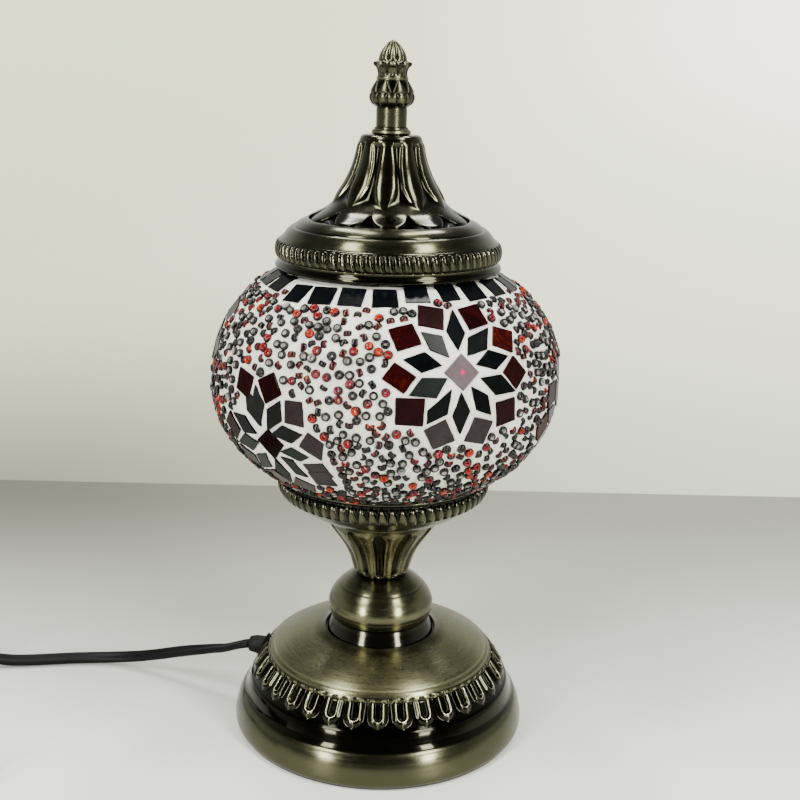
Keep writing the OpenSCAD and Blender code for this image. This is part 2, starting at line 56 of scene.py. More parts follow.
# ---------------------------------------------------------------------------
# Camera
# ---------------------------------------------------------------------------
yaw, pitch, roll = math.radians(-0.7350), math.radians(15.4045), math.radians(1.5000)
R0 = Vector((math.cos(yaw), math.sin(yaw), 0))
F = Vector((-math.sin(yaw) * math.cos(pitch), math.cos(yaw) * math.cos(pitch), -math.sin(pitch)))
U0 = Vector((-math.sin(yaw) * math.sin(pitch), math.cos(yaw) * math.sin(pitch), math.cos(pitch)))
right = math.cos(roll) * R0 + math.sin(roll) * U0
up = -math.sin(roll) * R0 + math.cos(roll) * U0
cam_data = bpy.data.cameras.new("camera")
cam_data.lens, cam_data.sensor_width = 54, 36
cam_data.clip_start, cam_data.clip_end = 0.01, 50
cam = bpy.data.objects.new("camera", cam_data)
SC.collection.objects.link(cam)
m = Matrix((right, up, -F)).transposed().to_4x4()
m.translation = Vector((0, -0.42768, 0.24618))
cam.matrix_world = m
SC.camera = cam

# ---------------------------------------------------------------------------
# Mesh helpers (profiles are in millimetres)
# ---------------------------------------------------------------------------


def make(name, verts, faces, mat, body="lamp", replaces=(), smooth=True, attrs=None):
    """A mesh piece from vertices in mm and a list or array of faces."""
    me = bpy.data.meshes.new(name)
    v = np.asarray(verts, float) * MM
    if isinstance(faces, np.ndarray):
        n = faces.shape[1]
        me.vertices.add(len(v))
        me.vertices.foreach_set("co", v.astype(np.float32).ravel())
        me.loops.add(faces.size)
        me.loops.foreach_set("vertex_index", faces.astype(np.int32).ravel())
        me.polygons.add(len(faces))
        me.polygons.foreach_set("loop_start", np.arange(0, faces.size, n, dtype=np.int32))
    else:
        me.from_pydata([tuple(p) for p in v], [], [tuple(int(i) for i in f) for f in faces])
    me.update(calc_edges=True)
    me.validate()
    if smooth:
        me.polygons.foreach_set("use_smooth", np.ones(len(me.polygons), bool))
    for key, val in (attrs or {}).items():
        val = np.asarray(val, np.float32)
        kind = "FLOAT" if val.ndim == 1 else "FLOAT_VECTOR"
        a = me.attributes.new(key, kind, "POINT")
        a.data.foreach_set("value" if val.ndim == 1 else "vector", val.ravel())
    if isinstance(mat, (list, tuple)):
        for x in mat:
            me.materials.append(x)
    else:
        me.materials.append(mat)
    o = bpy.data.objects.new(name, me)
    SC.collection.objects.link(o)
    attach(o, body)
    if replaces:
        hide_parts(*replaces)
    return o


def fine(prof, step=0.3):
    """Rounds the corners of a profile of (r, z[, radius]) and samples it closely."""
    P = [np.array(p[:2], float) for p in prof]
    rad = [p[2] if len(p) > 2 else 9.0 for p in prof]
    out = [P[0]]
    for i in range(1, len(P) - 1):
        a, b = P[i - 1] - P[i], P[i + 1] - P[i]
        la, lb = np.linalg.norm(a), np.linalg.norm(b)
        c1, c2 = min(rad[i], 0.49 * la), min(rad[i], 0.49 * lb)
        p0, p2 = P[i] + a / la * c1, P[i] + b / lb * c2
        k = 5
        for t in np.linspace(0, 1, k):
            out.append((1 - t) ** 2 * p0 + 2 * t * (1 - t) * P[i] + t * t * p2)
    out.append(P[-1])
    res = [out[0]]
    for q in out[1:]:
        d = np.linalg.norm(q - res[-1])
        if d < 1e-6:
            continue
        n = max(1, int(math.ceil(d / step)))
        p = res[-1]
        for j in range(1, n + 1):
            res.append(p + (q - p) * j / n)
    return np.array(res)


def normals2(p):
    d = np.gradient(p, axis=0)
    d /= np.maximum(np.linalg.norm(d, axis=1), 1e-9)[:, None]
    return np.stack([d[:, 1], -d[:, 0]], 1)


def offset2(p, t):
    """The profile moved t mm inwards."""
    return p - normals2(p) * t


def band(x, lo, hi, soft):
    """1 between lo and hi, smooth to 0 over soft outside them."""
    a = np.clip((x - lo) / soft + 1, 0, 1)
    b = np.clip((hi - x) / soft + 1, 0, 1)
    a, b = a * a * (3 - 2 * a), b * b * (3 - 2 * b)
    return a * b


def sstep(x, a, b):
    t = np.clip((x - a) / (b - a), 0, 1)
    return t * t * (3 - 2 * t)


def revolve(name, outer, inner, mat, nu=240, disp=None, body="lamp", replaces=(), poles=False):
    """Closed surface of revolution. outer and inner are arrays of (r, z) that together go once round
    the wall's section; disp(phi, p) moves the outer part along its normal and returns (mm, tone)."""
    no = len(outer)
    P = np.concatenate([outer, inner]) if len(inner) else outer
    n = len(P)
    phi = np.arange(nu) * 2 * PI / nu
    R = np.repeat(P[:, :1], nu, 1)
    Z = np.repeat(P[:, 1:], nu, 1)
    tone = np.full((n, nu), 0.5)
    PH = np.repeat(phi[None, :], n, 0)
    if disp is not None:
        N = normals2(outer)
        res = disp(PH[:no], outer[:, :1], outer[:, 1:])
        d, tn = res[0], res[1]
        R[:no] += d * N[:, :1]
        Z[:no] += d * N[:, 1:]
        tone[:no] = tn
        if len(res) > 2 and res[2] is not None:
            PH[:no] += res[2]
    X, Y = R * np.sin(PH), -R * np.cos(PH)
    V = np.stack([X, Y, Z], 2).reshape(-1, 3)
    i = np.arange(n)[:, None]
    j = np.arange(nu)[None, :]
    jn = (j + 1) % nu
    if poles:
        i = i[:-1]
        quads = np.stack([i * nu + j, i * nu + jn, (i + 1) * nu + jn, (i + 1) * nu + j], 2).reshape(-1, 4)
        faces = [tuple(f) for f in quads]
        c0, c1 = len(V), len(V) + 1
        V = np.concatenate([V, [[0, 0, P[0, 1]], [0, 0, P[-1, 1]]]])
        tone = np.concatenate([tone.ravel(), [0.5, 0.5]])
        for k in range(nu):
            faces.append((c0, (k + 1) % nu, k))
            faces.append((c1, (n - 1) * nu + k, (n - 1) * nu + (k + 1) % nu))
        return make(name, V, faces, mat, body, replaces, attrs={"tone": tone})
    ii = (i + 1) % n
    quads = np.stack([i * nu + j, i * nu + jn, ii * nu + jn, ii * nu + j], 2).reshape(-1, 4)
    return make(name, V, quads, mat, body, replaces, attrs={"tone": tone.ravel()})


# ---------------------------------------------------------------------------
# Materials
# ---------------------------------------------------------------------------


class G:
    """A small wrapper to build node trees."""

    def __init__(self, name):
        self.m = bpy.data.materials.new(name)
        self.m.use_nodes = True
        self.t = self.m.node_tree
        self.b = self.t.nodes["Principled BSDF"]

    def n(self, kind, **kw):
        x = self.t.nodes.new(kind)
        for k, v in kw.items():
            if k.startswith("i_"):
                key = k[2:]
                key = int(key) if key.isdigit() else key.replace("_", " ")
                x.inputs[key].default_value = v
            else:
                setattr(x, k, v)
        return x

    def l(self, a, b):
        self.t.links.new(a, b)

    def math(self, op, a, b=None, clamp=False):
        x = self.n("ShaderNodeMath", operation=op, use_clamp=clamp)
        for k, v in enumerate((a, b)):
            if v is None:
                continue
            if isinstance(v, (int, float)):
                x.inputs[k].default_value = v
            else:
                self.l(v, x.inputs[k])
        return x.outputs[0]

    def ramp(self, fac, stops, interp="LINEAR"):
        x = self.n("ShaderNodeValToRGB")
        x.color_ramp.interpolation = interp
        el = x.color_ramp.elements
        while len(el) > 1:
            el.remove(el[-1])
        for k, (p, c) in enumerate(stops):
            e = el[0] if k == 0 else el.new(p)
            e.position = p
            e.color = (*c, 1) if len(c) == 3 else c
        self.l(fac, x.inputs[0])
        return x.outputs[0]

    def mix(self, fac, a, b, blend="MIX"):
        x = self.n("ShaderNodeMix", data_type="RGBA", blend_type=blend)
        for k, v in ((0, fac), (6, a), (7, b)):
            if isinstance(v, (int, float)):
                x.inputs[k].default_value = v
            elif isinstance(v, tuple):
                x.inputs[k].default_value = (*v, 1)
            else:
                self.l(v, x.inputs[k])
        return x.outputs[2]

    def noise(self, vec, scale, detail=3, rough=0.5, dist=0.0):
        x = self.n("ShaderNodeTexNoise", i_Scale=scale, i_Detail=detail, i_Roughness=rough, i_Distortion=dist)
        if vec is not None:
            self.l(vec, x.inputs["Vector"])
        return x.outputs[0]

    def attr(self, name, out="Fac"):
        x = self.n("ShaderNodeAttribute", attribute_name=name)
        return x.outputs[out]

    def obj(self):
        return self.n("ShaderNodeTexCoord").outputs["Object"]

    def lathe(self):
        """Coordinates that run round the lamp's axis: slow along the turn, fast across it."""
        s = self.n("ShaderNodeSeparateXYZ")
        self.l(self.obj(), s.inputs[0])
        x, y, z = s.outputs
        r = self.math("SQRT", self.math("ADD", self.math("MULTIPLY", x, x), self.math("MULTIPLY", y, y)))
        c = self.n("ShaderNodeCombineXYZ")
        inv = self.math("DIVIDE", 0.004, self.math("MAXIMUM", r, 0.004))
        self.l(self.math("MULTIPLY", x, inv), c.inputs[0])
        self.l(self.math("MULTIPLY", y, inv), c.inputs[1])
        self.l(self.math("ADD", self.math("MULTIPLY", z, 3.0), self.math("MULTIPLY", r, 3.0)), c.inputs[2])
        return c.outputs[0]

    def bump(self, height, strength, distance):
        x = self.n("ShaderNodeBump", i_Strength=strength, i_Distance=distance)
        self.l(height, x.inputs["Height"])
        self.l(x.outputs[0], self.b.inputs["Normal"])
        return x

    def set(self, **kw):
        names = {"color": "Base Color", "metal": "Metallic", "rough": "Roughness", "ior": "IOR", "coat": "Coat Weight",
                 "coat_rough": "Coat Roughness", "spec": "Specular IOR Level", "trans": "Transmission Weight",
                 "aniso": "Anisotropic", "sheen": "Sheen Weight", "alpha": "Alpha", "sub": "Subsurface Weight"}
        for k, v in kw.items():
            s = self.b.inputs[names[k]]
            if isinstance(v, (int, float)):
                s.default_value = v
            elif isinstance(v, tuple):
                s.default_value = (*v, 1) if len(v) == 3 else v
            else:
                self.l(v, s)
        return self


def brass(name, lo=(0.009, 0.0088, 0.0068), mid=(0.066, 0.0635, 0.0375), hi=(0.205, 0.196, 0.115), top=(0.60, 0.585, 0.38), rough=0.22,
          brushed=1.0, patina=0.20, aniso=0.60):
    """Antiqued brass: brushed round on the lathe, darkened, and left near black in the hollows; its tone attribute
    also carries painted shade and painted highlights.
    """
    g = G(name)
    lc = g.lathe()
    lines = g.noise(lc, 900, 2, 0.6)
    coarse = g.noise(lc, 150, 3, 0.6)
    cloud = g.noise(g.obj(), 55, 4, 0.6)
    speck = g.noise(g.obj(), 420, 3, 0.7)
    tone = g.attr("tone")
    # 0 in the hollows, 1 on the rubbed edges; the tone also holds painted shade in creases and coves and painted
    # highlights
    a = g.math("ADD", g.math("MULTIPLY", g.math("SUBTRACT", lines, 0.5), 0.12 * brushed),
               g.math("MULTIPLY", g.math("SUBTRACT", coarse, 0.5), 0.07 * brushed))
    a = g.math("ADD", a, g.math("MULTIPLY", g.math("SUBTRACT", cloud, 0.5), patina))
    a = g.math("ADD", a, tone, clamp=True)
    col = g.ramp(a, [(0.0, lo), (0.25, tuple(0.72 * x + 0.28 * y for x, y in zip(lo, mid))), (0.5, mid), (0.76, hi), (1.0, top)])
    r = g.math("ADD", rough, g.math("MULTIPLY", g.math("SUBTRACT", speck, 0.5), 0.12))
    r = g.math("ADD", r, g.math("MULTIPLY", g.math("SUBTRACT", lines, 0.5), 0.16 * brushed))
    # the lacquered hollows stay glossier than the brushed faces
    r = g.math("SUBTRACT", r, g.math("MULTIPLY", g.math("SUBTRACT", 0.5, tone), 0.30), clamp=True)
    g.set(color=col, metal=1.0, rough=g.math("MAXIMUM", r, 0.09), aniso=aniso)
    g.b.inputs["Anisotropic Rotation"].default_value = 0.25
    tn = g.n("ShaderNodeTangent", direction_type="RADIAL", axis="Z")
    g.l(tn.outputs[0], g.b.inputs["Tangent"])
    g.bump(lines, 0.05 * brushed + 0.02, 0.00004)
    return g.m


M = {}
M["brass"] = brass("antique_brass")
M["brass_cast"] = brass("antique_brass_cast", rough=0.28, brushed=0.35, patina=0.45, aniso=0.0)
M["brass_dark"] = brass("antique_brass_dark", mid=(0.052, 0.050, 0.036), hi=(0.15, 0.145, 0.10), rough=0.19, brushed=0.3, aniso=0.45)


def cord_mat():
    g = G("black_pvc")
    n = g.noise(g.obj(), 900, 3, 0.6)
    c = g.noise(g.obj(), 60, 2, 0.5)
    g.set(color=g.ramp(c, [(0.3, (0.0016, 0.0016, 0.0018)), (0.7, (0.0034, 0.0034, 0.0036))]),
          rough=g.math("ADD", 0.38, g.math("MULTIPLY", n, 0.16)), spec=0.09)
    g.bump(n, 0.12, 0.0001)
    return g.m


M["cord"] = cord_mat()


def simple(name, color, metal=0.0, rough=0.4, var=0.15, scale=200, bump=0.1, dist=0.0001, **kw):
    g = G(name)
    n = g.noise(g.obj(), scale, 4, 0.6)
    c = g.noise(g.obj(), scale * 0.15, 3, 0.5)
    lo, hi = tuple(x * (1 - var) for x in color), tuple(min(1, x * (1 + var)) for x in color)
    g.set(color=g.ramp(c, [(0.3, lo), (0.7, hi)]), metal=metal,
          rough=g.math("ADD", rough - 0.06, g.math("MULTIPLY", n, 0.12)), **kw)
    if bump:
        g.bump(n, bump, dist)
    return g.m


M["plain_brass"] = simple("plain_brass", (0.62, 0.47, 0.22), 1.0, 0.26, 0.12, 300, 0.06)
M["zinc"] = simple("zinc_steel", (0.52, 0.53, 0.54), 1.0, 0.32, 0.12, 260, 0.08)
M["iron"] = simple("cast_iron", (0.05, 0.05, 0.052), 0.4, 0.7, 0.3, 500, 0.6, 0.0004)
M["rubber"] = simple("black_rubber", (0.003, 0.003, 0.0032), 0.0, 0.5, 0.2, 500, 0.15, spec=0.10)
M["felt"] = simple("black_felt", (0.012, 0.012, 0.013), 0.0, 0.95, 0.3, 2500, 0.9, 0.0005, sheen=0.4)
M["plastic"] = simple("black_plastic", (0.006, 0.006, 0.0065), 0.0, 0.33, 0.15, 700, 0.10, spec=0.25)
M["bulb_metal"] = simple("bulb_metal", (0.62, 0.63, 0.65), 1.0, 0.22, 0.1, 240, 0.05)

# ---------------------------------------------------------------------------
# Cord
# ---------------------------------------------------------------------------
run_route = [(-51.6, 8.8, 23.8), (-54.6, 9.6, 23.0), (-58, 11.1, 21.4), (-62, 13.1, 19.3), (-67, 15.9, 17.2), (-73, 19.1, 14.6),
             (-82, 23.8, 10.8), (-91, 28.0, 7.2), (-100, 31.4, 4.3), (-109, 33.8, 2.4), (-118, 34.7, 1.5),
             (-128, 34.2, 1.3), (-138, 32.8, 1.3), (-148, 31.2, 1.4), (-155, 30.2, 1.8), (-161, 29.4, 2.9), (-168, 28.6, 4.6)]
inside = [(-180, 28.2, 4.85), (-195, 28.2, 4.85), (-210, 28.2, 4.85)]
link_route = [(-222, 28.2, 4.6), (-226, 28.2, 3.2), (-230.5, 27.4, 1.8), (-235.2, 24.6, 1.3), (-239.2, 19.6, 1.3),
              (-241.4, 13.2, 1.3), (-242, 5, 1.3), (-242, -3, 1.3), (-242, -11, 1.3)]
CC = (-208.8, -23.0)


def coil_points():
    """Turns of the coil, two columns by four layers, wound outwards and inwards in turn."""
    r_out, r_in = 33.2, 27.8
    z = [1.3, 3.9, 6.5, 9.1]
    seq = [(r_out, z[0]), (r_in, z[0]), (r_in, z[1]), (r_out, z[1]), (r_out, z[2]), (r_in, z[2]), (r_in, z[3]), (r_out, z[3])]
    pts, per = [], 48
    total = 7.25
    for i in range(1, int(total * per) + 1):
        t = i / per
        k = min(int(t), 7)
        f = t - k
        r, h = seq[k]
        if k + 1 < len(seq) and f > 0.58:
            u = (f - 0.58) / 0.42
            u = u * u * (3 - 2 * u)
            r, h = r + (seq[k + 1][0] - r) * u, h + (seq[k + 1][1] - h) * u
        a = PI + 2 * PI * t
        pts.append((CC[0] + r * math.cos(a), CC[1] + r * math.sin(a), h))
    return pts


tail_route = [(-203, -56.2, 9.0), (-197, -56.2, 8.2), (-191, -56.2, 7.1), (-187, -56.2, 6.8), (-185, -56.2, 6.8), (-182, -56.2, 6.8)]


def spline(points, step):
    """Centripetal Catmull-Rom through the points, sampled about step apart."""
    p = np.array(points, float)
    p = np.concatenate([[2 * p[0] - p[1]], p, [2 * p[-1] - p[-2]]])
    out = [p[1]]
    for i in range(1, len(p) - 2):
        a, b, c, d = p[i - 1], p[i], p[i + 1], p[i + 2]
        t1 = max(np.linalg.norm(b - a), 1e-6) ** 0.5
        t2 = t1 + max(np.linalg.norm(c - b), 1e-6) ** 0.5
        t3 = t2 + max(np.linalg.norm(d - c), 1e-6) ** 0.5
        n = max(1, int(round(np.linalg.norm(c - b) / step)))
        for k in range(1, n + 1):
            t = t1 + (t2 - t1) * k / n
            A1 = (t1 - t) / t1 * a + t / t1 * b
            A2 = (t2 - t) / (t2 - t1) * b + (t - t1) / (t2 - t1) * c
            A3 = (t3 - t) / (t3 - t2) * c + (t - t2) / (t3 - t2) * d
            B1 = (t2 - t) / t2 * A1 + t / t2 * A2
            B2 = (t3 - t) / (t3 - t1) * A2 + (t - t1) / (t3 - t1) * A3
            out.append((t2 - t) / (t2 - t1) * B1 + (t - t1) / (t2 - t1) * B2)
    return np.array(out)


def lead_section():
    """Half section of a flat twin lead, 5.0 by 2.5 mm, with a shallow groove along each flat side."""
    pts = []
    for side in (1, -1):
        for a in np.linspace(-90, 90, 9):
            t = math.radians(a)
            x = side * (1.28 + 1.22 * math.cos(t))
            y = 1.25 * math.sin(t) * (1 if side == 1 else -1)
            pts.append((x, y))
        pts.append((side * 0.62, (1.12 if side == 1 else -1.12)))
        pts.append((0.0, (0.93 if side == 1 else -0.93)))
        pts.append((-side * 0.62, (1.12 if side == 1 else -1.12)))
    return np.array(pts)


def sweep(name, line, sec, mat, body="lamp", replaces=(), taper=None, roll_=None):
    d = np.gradient(line, axis=0)
    d /= np.linalg.norm(d, axis=1)[:, None]
    s = np.cross(np.array([0, 0, 1.0])[None, :], d)
    s /= np.maximum(np.linalg.norm(s, axis=1), 1e-9)[:, None]
    u = np.cross(d, s)
    if roll_ is not None:
        cr, sr = np.cos(roll_)[:, None], np.sin(roll_)[:, None]
        s, u = s * cr + u * sr, u * cr - s * sr
    k, n = len(sec), len(line)
    sc = np.ones(n) if taper is None else taper
    V = (line[:, None, :] + s[:, None, :] * (sec[None, :, :1] * sc[:, None, None])
         + u[:, None, :] * (sec[None, :, 1:] * sc[:, None, None])).reshape(-1, 3)
    i, j = np.arange(n - 1)[:, None], np.arange(k)[None, :]
    jn = (j + 1) % k
    q = np.stack([i * k + j, i * k + jn, (i + 1) * k + jn, (i + 1) * k + j], 2).reshape(-1, 4)
    faces = [tuple(f) for f in q] + [tuple(range(k - 1, -1, -1)), tuple((n - 1) * k + t for t in range(k))]
    return make(name, V, faces, mat, body, replaces)


cord_line = spline(run_route + inside + link_route + coil_points() + tail_route, 1.6)
# between the foot and the switch the lead lies turned half on edge
first_ = np.arange(len(cord_line)) < len(run_route) * 12
seen_ = np.where(first_ & (cord_line[:, 1] > 0), band(cord_line[:, 0], -158.0, -86.0, 30.0), 0.0)
cord_line[:, 2] += 1.12 * seen_
lead_roll = -math.radians(34) * seen_
lead = sweep("lead", cord_line, lead_section(), M["cord"], roll_=lead_roll,
             replaces=["cord_run", "cord_link", "cord_coil", "cord_tail"])

# ---------------------------------------------------------------------------
# Table, lights, world
# ---------------------------------------------------------------------------


def table():
    """A pale table top, painted darker towards the back and the left as painted shade, that ends a hand's width behind
    the lamp, against a pale room.
    """
    g = G("pale_table")
    s = g.n("ShaderNodeSeparateXYZ")
    g.l(g.obj(), s.inputs[0])
    x, y = s.outputs[0], s.outputs[1]
    n = g.noise(g.obj(), 3.0, 3, 0.5)
    back = g.n("ShaderNodeMapRange", interpolation_type="SMOOTHSTEP")
    g.l(y, back.inputs["Value"])
    back.inputs["From Min"].default_value, back.inputs["From Max"].default_value = -0.12, 0.25
    side = g.n("ShaderNodeMapRange", interpolation_type="SMOOTHSTEP")
    g.l(x, side.inputs["Value"])
    side.inputs["From Min"].default_value, side.inputs["From Max"].default_value = -0.24, 0.24
    base = g.mix(g.math("MULTIPLY", n, 0.1), (0.612, 0.624, 0.572), (0.592, 0.604, 0.552))
    # painted shade: the table darkens towards its back edge, more on the left than on the right
    far = g.mix(side.outputs[0], (0.090, 0.0915, 0.071), (0.205, 0.213, 0.180))
    base = g.mix(back.outputs[0], base, far)
    g.set(color=base, rough=0.5, spec=0.35)
    me = bpy.data.meshes.new("table_top")
    X0, X1, Y0, Y1, T = -4.0, 4.0, -4.0, 0.265, 0.022
    lo_, hi_ = -T, 0.0
    vs = [(a_, b_, c_) for c_ in (lo_, hi_) for b_ in (Y0, Y1 - 0.002) for a_ in (X0, X1)]
    vs += [(X0, Y1, hi_ - 0.002), (X1, Y1, hi_ - 0.002), (X0, Y1, lo_), (X1, Y1, lo_)]
    fs = [(4, 5, 7, 6), (6, 7, 9, 8), (8, 9, 11, 10), (1, 0, 10, 11), (0, 4, 6, 8, 10), (1, 11, 9, 7, 5), (0, 1, 5, 4)]
    me.from_pydata(vs, [], fs)
    me.materials.append(g.m)
    o = bpy.data.objects.new("table_top", me)
    o.location.z = -0.00005
    SC.collection.objects.link(o)
    return o


table()


def soft_light(name, az, el, along, dist, size, power, color=(1.0, 0.99, 0.95), target=(0, 0, 0.12)):
    """A softbox at azimuth az (0 front, + right) and elevation el, its long side leaning towards (az, el) = along."""
    d = bpy.data.lights.new(name, "AREA")
    d.shape, d.size, d.size_y, d.energy, d.color = "RECTANGLE", size[0], size[1], power, color
    o = bpy.data.objects.new(name, d)

    def way(a, e):
        a, e = math.radians(a), math.radians(e)
        return Vector((math.sin(a) * math.cos(e), -math.cos(a) * math.cos(e), math.sin(e)))

    z = way(az, el)
    t = way(*along) - z
    t = (t - z * t.dot(z)).normalized()
    x = t.cross(z).normalized()
    mm = Matrix((x, t, z)).transposed().to_4x4()
    mm.translation = Vector(target) + z * dist
    o.matrix_world = mm
    SC.collection.objects.link(o)
    return o


for sd, nm in ((-1, "left"), (1, "right")):
    k = 1.0 if sd < 0 else 1.06
    soft_light("key_low_" + nm, sd * 40, 17, (sd * 50, 50), 1.15, (0.17, 0.50), 16.0 * k)
    soft_light("key_high_" + nm, sd * 56, 55, (sd * 40, 20), 1.15, (0.22, 0.55), 16.0 * k)
    soft_light("key_back_" + nm, sd * 152, 62, (sd * 152, 88), 1.20, (0.11, 0.50), 8.5 * k)


def world():
    w = bpy.data.worlds.new("studio")
    SC.world = w
    w.use_nodes = True
    t = w.node_tree
    t.nodes.clear()
    N = t.nodes.new
    out, bg, bg2, mixs = N("ShaderNodeOutputWorld"), N("ShaderNodeBackground"), N("ShaderNodeBackground"), N("ShaderNodeMixShader")
    lp, tc, sx = N("ShaderNodeLightPath"), N("ShaderNodeTexCoord"), N("ShaderNodeSeparateXYZ")
    t.links.new(tc.outputs["Generated"], sx.inputs[0])

    def span(src, lo, hi, a, b):
        q = N("ShaderNodeMapRange")
        q.interpolation_type = "SMOOTHSTEP"
        t.links.new(src, q.inputs["Value"])
        for key, v in (("From Min", lo), ("From Max", hi), ("To Min", a), ("To Max", b)):
            q.inputs[key].default_value = v
        return q.outputs[0]

    def mul(a, b):
        q = N("ShaderNodeMath")
        q.operation = "MULTIPLY"
        t.links.new(a, q.inputs[0])
        t.links.new(b, q.inputs[1])
        return q.outputs[0]

    def mix(f, a, b):
        q = N("ShaderNodeMix")
        q.data_type = "RGBA"
        t.links.new(f, q.inputs[0])
        for i, v in ((6, a), (7, b)):
            if isinstance(v, tuple):
                q.inputs[i].default_value = (*v, 1)
            else:
                t.links.new(v, q.inputs[i])
        return q.outputs[2]

    # what lights the lamp and shows in its metal: a dark room in front and above, a pale wall behind
    pale = mul(span(sx.outputs[1], -0.70, 0.20, 0.0, 1.0), span(sx.outputs[2], 0.30, 0.62, 1.0, 0.16))
    t.links.new(mix(pale, (0.135, 0.138, 0.120), (0.95, 0.97, 0.88)), bg.inputs[0])
    bg.inputs[1].default_value = 1.0
    # what the camera sees: a pale wall with painted shade and painted light, darker low down and to the left and
    # brightest high up on the right
    side = mix(span(sx.outputs[0], -0.34, 0.34, 0.0, 1.0), (0.55, 0.55, 0.385), (1.38, 1.48, 1.13))
    high = mix(span(sx.outputs[0], -0.34, 0.34, 0.0, 1.0), (1.66, 1.72, 1.20), (2.20, 2.30, 1.68))
    crown = mix(span(sx.outputs[0], -0.08, 0.38, 0.0, 1.0), (1.86, 1.95, 1.34), (3.80, 3.65, 3.00))
    lower = mix(span(sx.outputs[2], -0.34, -0.15, 0.0, 1.0), side, high)
    t.links.new(mix(span(sx.outputs[2], -0.16, 0.05, 0.0, 1.0), lower, crown), bg2.inputs[0])
    bg2.inputs[1].default_value = 1.0
    t.links.new(lp.outputs["Is Camera Ray"], mixs.inputs[0])
    t.links.new(bg.outputs[0], mixs.inputs[1])
    t.links.new(bg2.outputs[0], mixs.inputs[2])
    t.links.new(mixs.outputs[0], out.inputs[0])


world()
# ---------------------------------------------------------------------------
# Metalwork
# ---------------------------------------------------------------------------


def cell(phi, n, shift=0.0):
    """-1..1 across each of n cells, one of them centred at phi = shift (radians)."""
    return (((phi - shift) * n / (2 * PI) + 0.5) % 1.0) * 2 - 1


def lines_of(z, zs, w, depth):
    """Fine turned lines cut at the heights zs."""
    d = np.zeros_like(z)
    for q in zs:
        d = d - depth * np.exp(-((z - q) / w) ** 2)
    return d


# ---- foot ----
PETALS = 34


def d_foot(phi, r, z):
    L = 9.2
    y = (27.9 - z) / (27.9 - 20.4) * L
    x = cell(phi, PETALS) * PI * r / PETALS
    on = sstep(y, -0.1, 0.5) * sstep(z, 18.6, 19.8) * (z < 28.4)
    Wo, Li, Wi = 3.62, 6.9, 1.75
    sd = np.sqrt(x * x + np.maximum(0, y - (L - Wo)) ** 2) - Wo
    sdi = np.sqrt(x * x + np.maximum(0, y - (Li - Wi)) ** 2) - Wi
    tongue = sstep(-sd, -0.2, 1.5)
    recess = sstep(-sdi, -0.1, 0.75)
    lip = np.exp(-((sdi - 0.12) / 0.25) ** 2)
    stem = np.exp(-(x / 0.30) ** 2) * band(y, Li + 0.2, L + 0.2, 0.5)
    d = on * (-0.35 + 1.00 * tongue - 1.25 * recess + 0.24 * lip * tongue + 0.20 * stem)
    tone = 0.5 + on * (-0.45 + 0.12 * tongue - 0.16 * recess + 0.80 * lip * tongue + 0.50 * stem)
    # a row of small beads along the ridge above the petals
    b = cell(phi, PETALS * 2, PI / PETALS / 2)
    ridge = band(z, 28.3, 28.9, 0.35)
    d = d + ridge * (0.30 * np.sqrt(np.maximum(0, 1 - (b / 0.95) ** 2)) - 0.1)
    tone = tone + ridge * (-0.25 + 0.45 * (np.abs(b) < 0.5))
    # painted shade and painted dark reflection: the cove under the overhanging petals is darkened
    cove = band(z, 13.2, 19.6, 0.9)
    tone = tone - 0.40 * cove
    footband = band(z, 2.5, 11.2, 1.2)
    tone = tone - 0.03 * footband
    dome = sstep(z, 30.4, 31.2)
    edge = band(z, 29.6, 30.9, 0.4)
    # painted highlight along the rounded edge bead; painted light that lightens the dome's upward face; painted dark
    # reflection of the stem in a ring round the collar, with painted shade in the groove at its foot
    tone = tone + 0.16 * edge + 0.22 * dome - 0.20 * sstep(-r, -27.0, -22.5) * dome - 0.2 * sstep(-r, -21.6, -21.0) * dome
    return d, np.clip(tone, 0.0, 1.0) + 0 * phi


foot = fine([(54.6, 0.95), (55.4, 1.1, 0.4), (55.9, 2.0, 0.6), (56.0, 3.2), (55.75, 5.2), (55.3, 7.4), (54.7, 9.3), (54.0, 10.9), (53.2, 12.1, 0.6),
             (52.3, 12.9), (51.5, 14.2), (50.9, 16.0), (50.2, 18.0), (49.5, 19.4), (48.6, 20.7, 0.8), (46.4, 23.6),
             (43.6, 27.4, 0.6), (43.2, 28.2, 0.5), (43.2, 28.9, 0.5), (42.5, 29.6, 0.3), (42.3, 30.2, 0.5), (41.0, 30.9, 0.8), (39.2, 32.0), (37.0, 33.1), (33.0, 34.7),
             (28.6, 35.9), (25.4, 36.5), (23.2, 37.1), (21.6, 37.9, 0.6), (21.1, 38.1, 0.25), (20.9, 37.7, 0.2), (20.9, 36.7, 0.2), (5.3, 36.5)], 0.28)
inner = [(5.3, 35.7), (20.4, 35.7), (22.0, 36.0), (28.0, 35.0), (33.0, 33.7), (37.0, 32.2), (40.6, 29.6), (41.8, 27.4), (45.2, 22.6),
         (48.0, 18.6), (49.7, 16.6), (50.6, 13.2), (52.6, 11.4), (54.4, 9.0), (54.9, 5.5), (54.6, 2.0), (54.0, 0.95)]
revolve("foot", foot, np.array(inner), M["brass"], PETALS * 26, d_foot, replaces=["base_shell"])

# ---- collar, ball ----
collar = fine([(5.3, 36.65), (20.0, 36.65, 0.2), (20.45, 36.95, 0.3), (20.35, 37.6, 0.4), (19.7, 39.0), (19.0, 40.6), (18.4, 42.1), (18.0, 42.75, 0.3), (17.4, 42.85, 0.2), (5.3, 42.85)], 0.25)


def d_collar(phi, r, z):
    # darker at its foot as painted shade where the collar tucks into the foot's groove; a slightly lighter band near
    # its top
    t = 0.30 - 0.12 * sstep(-z, -38.0, -37.0) + 0.06 * band(z, 41.4, 42.4, 0.3)
    return 0 * phi, t + 0 * phi


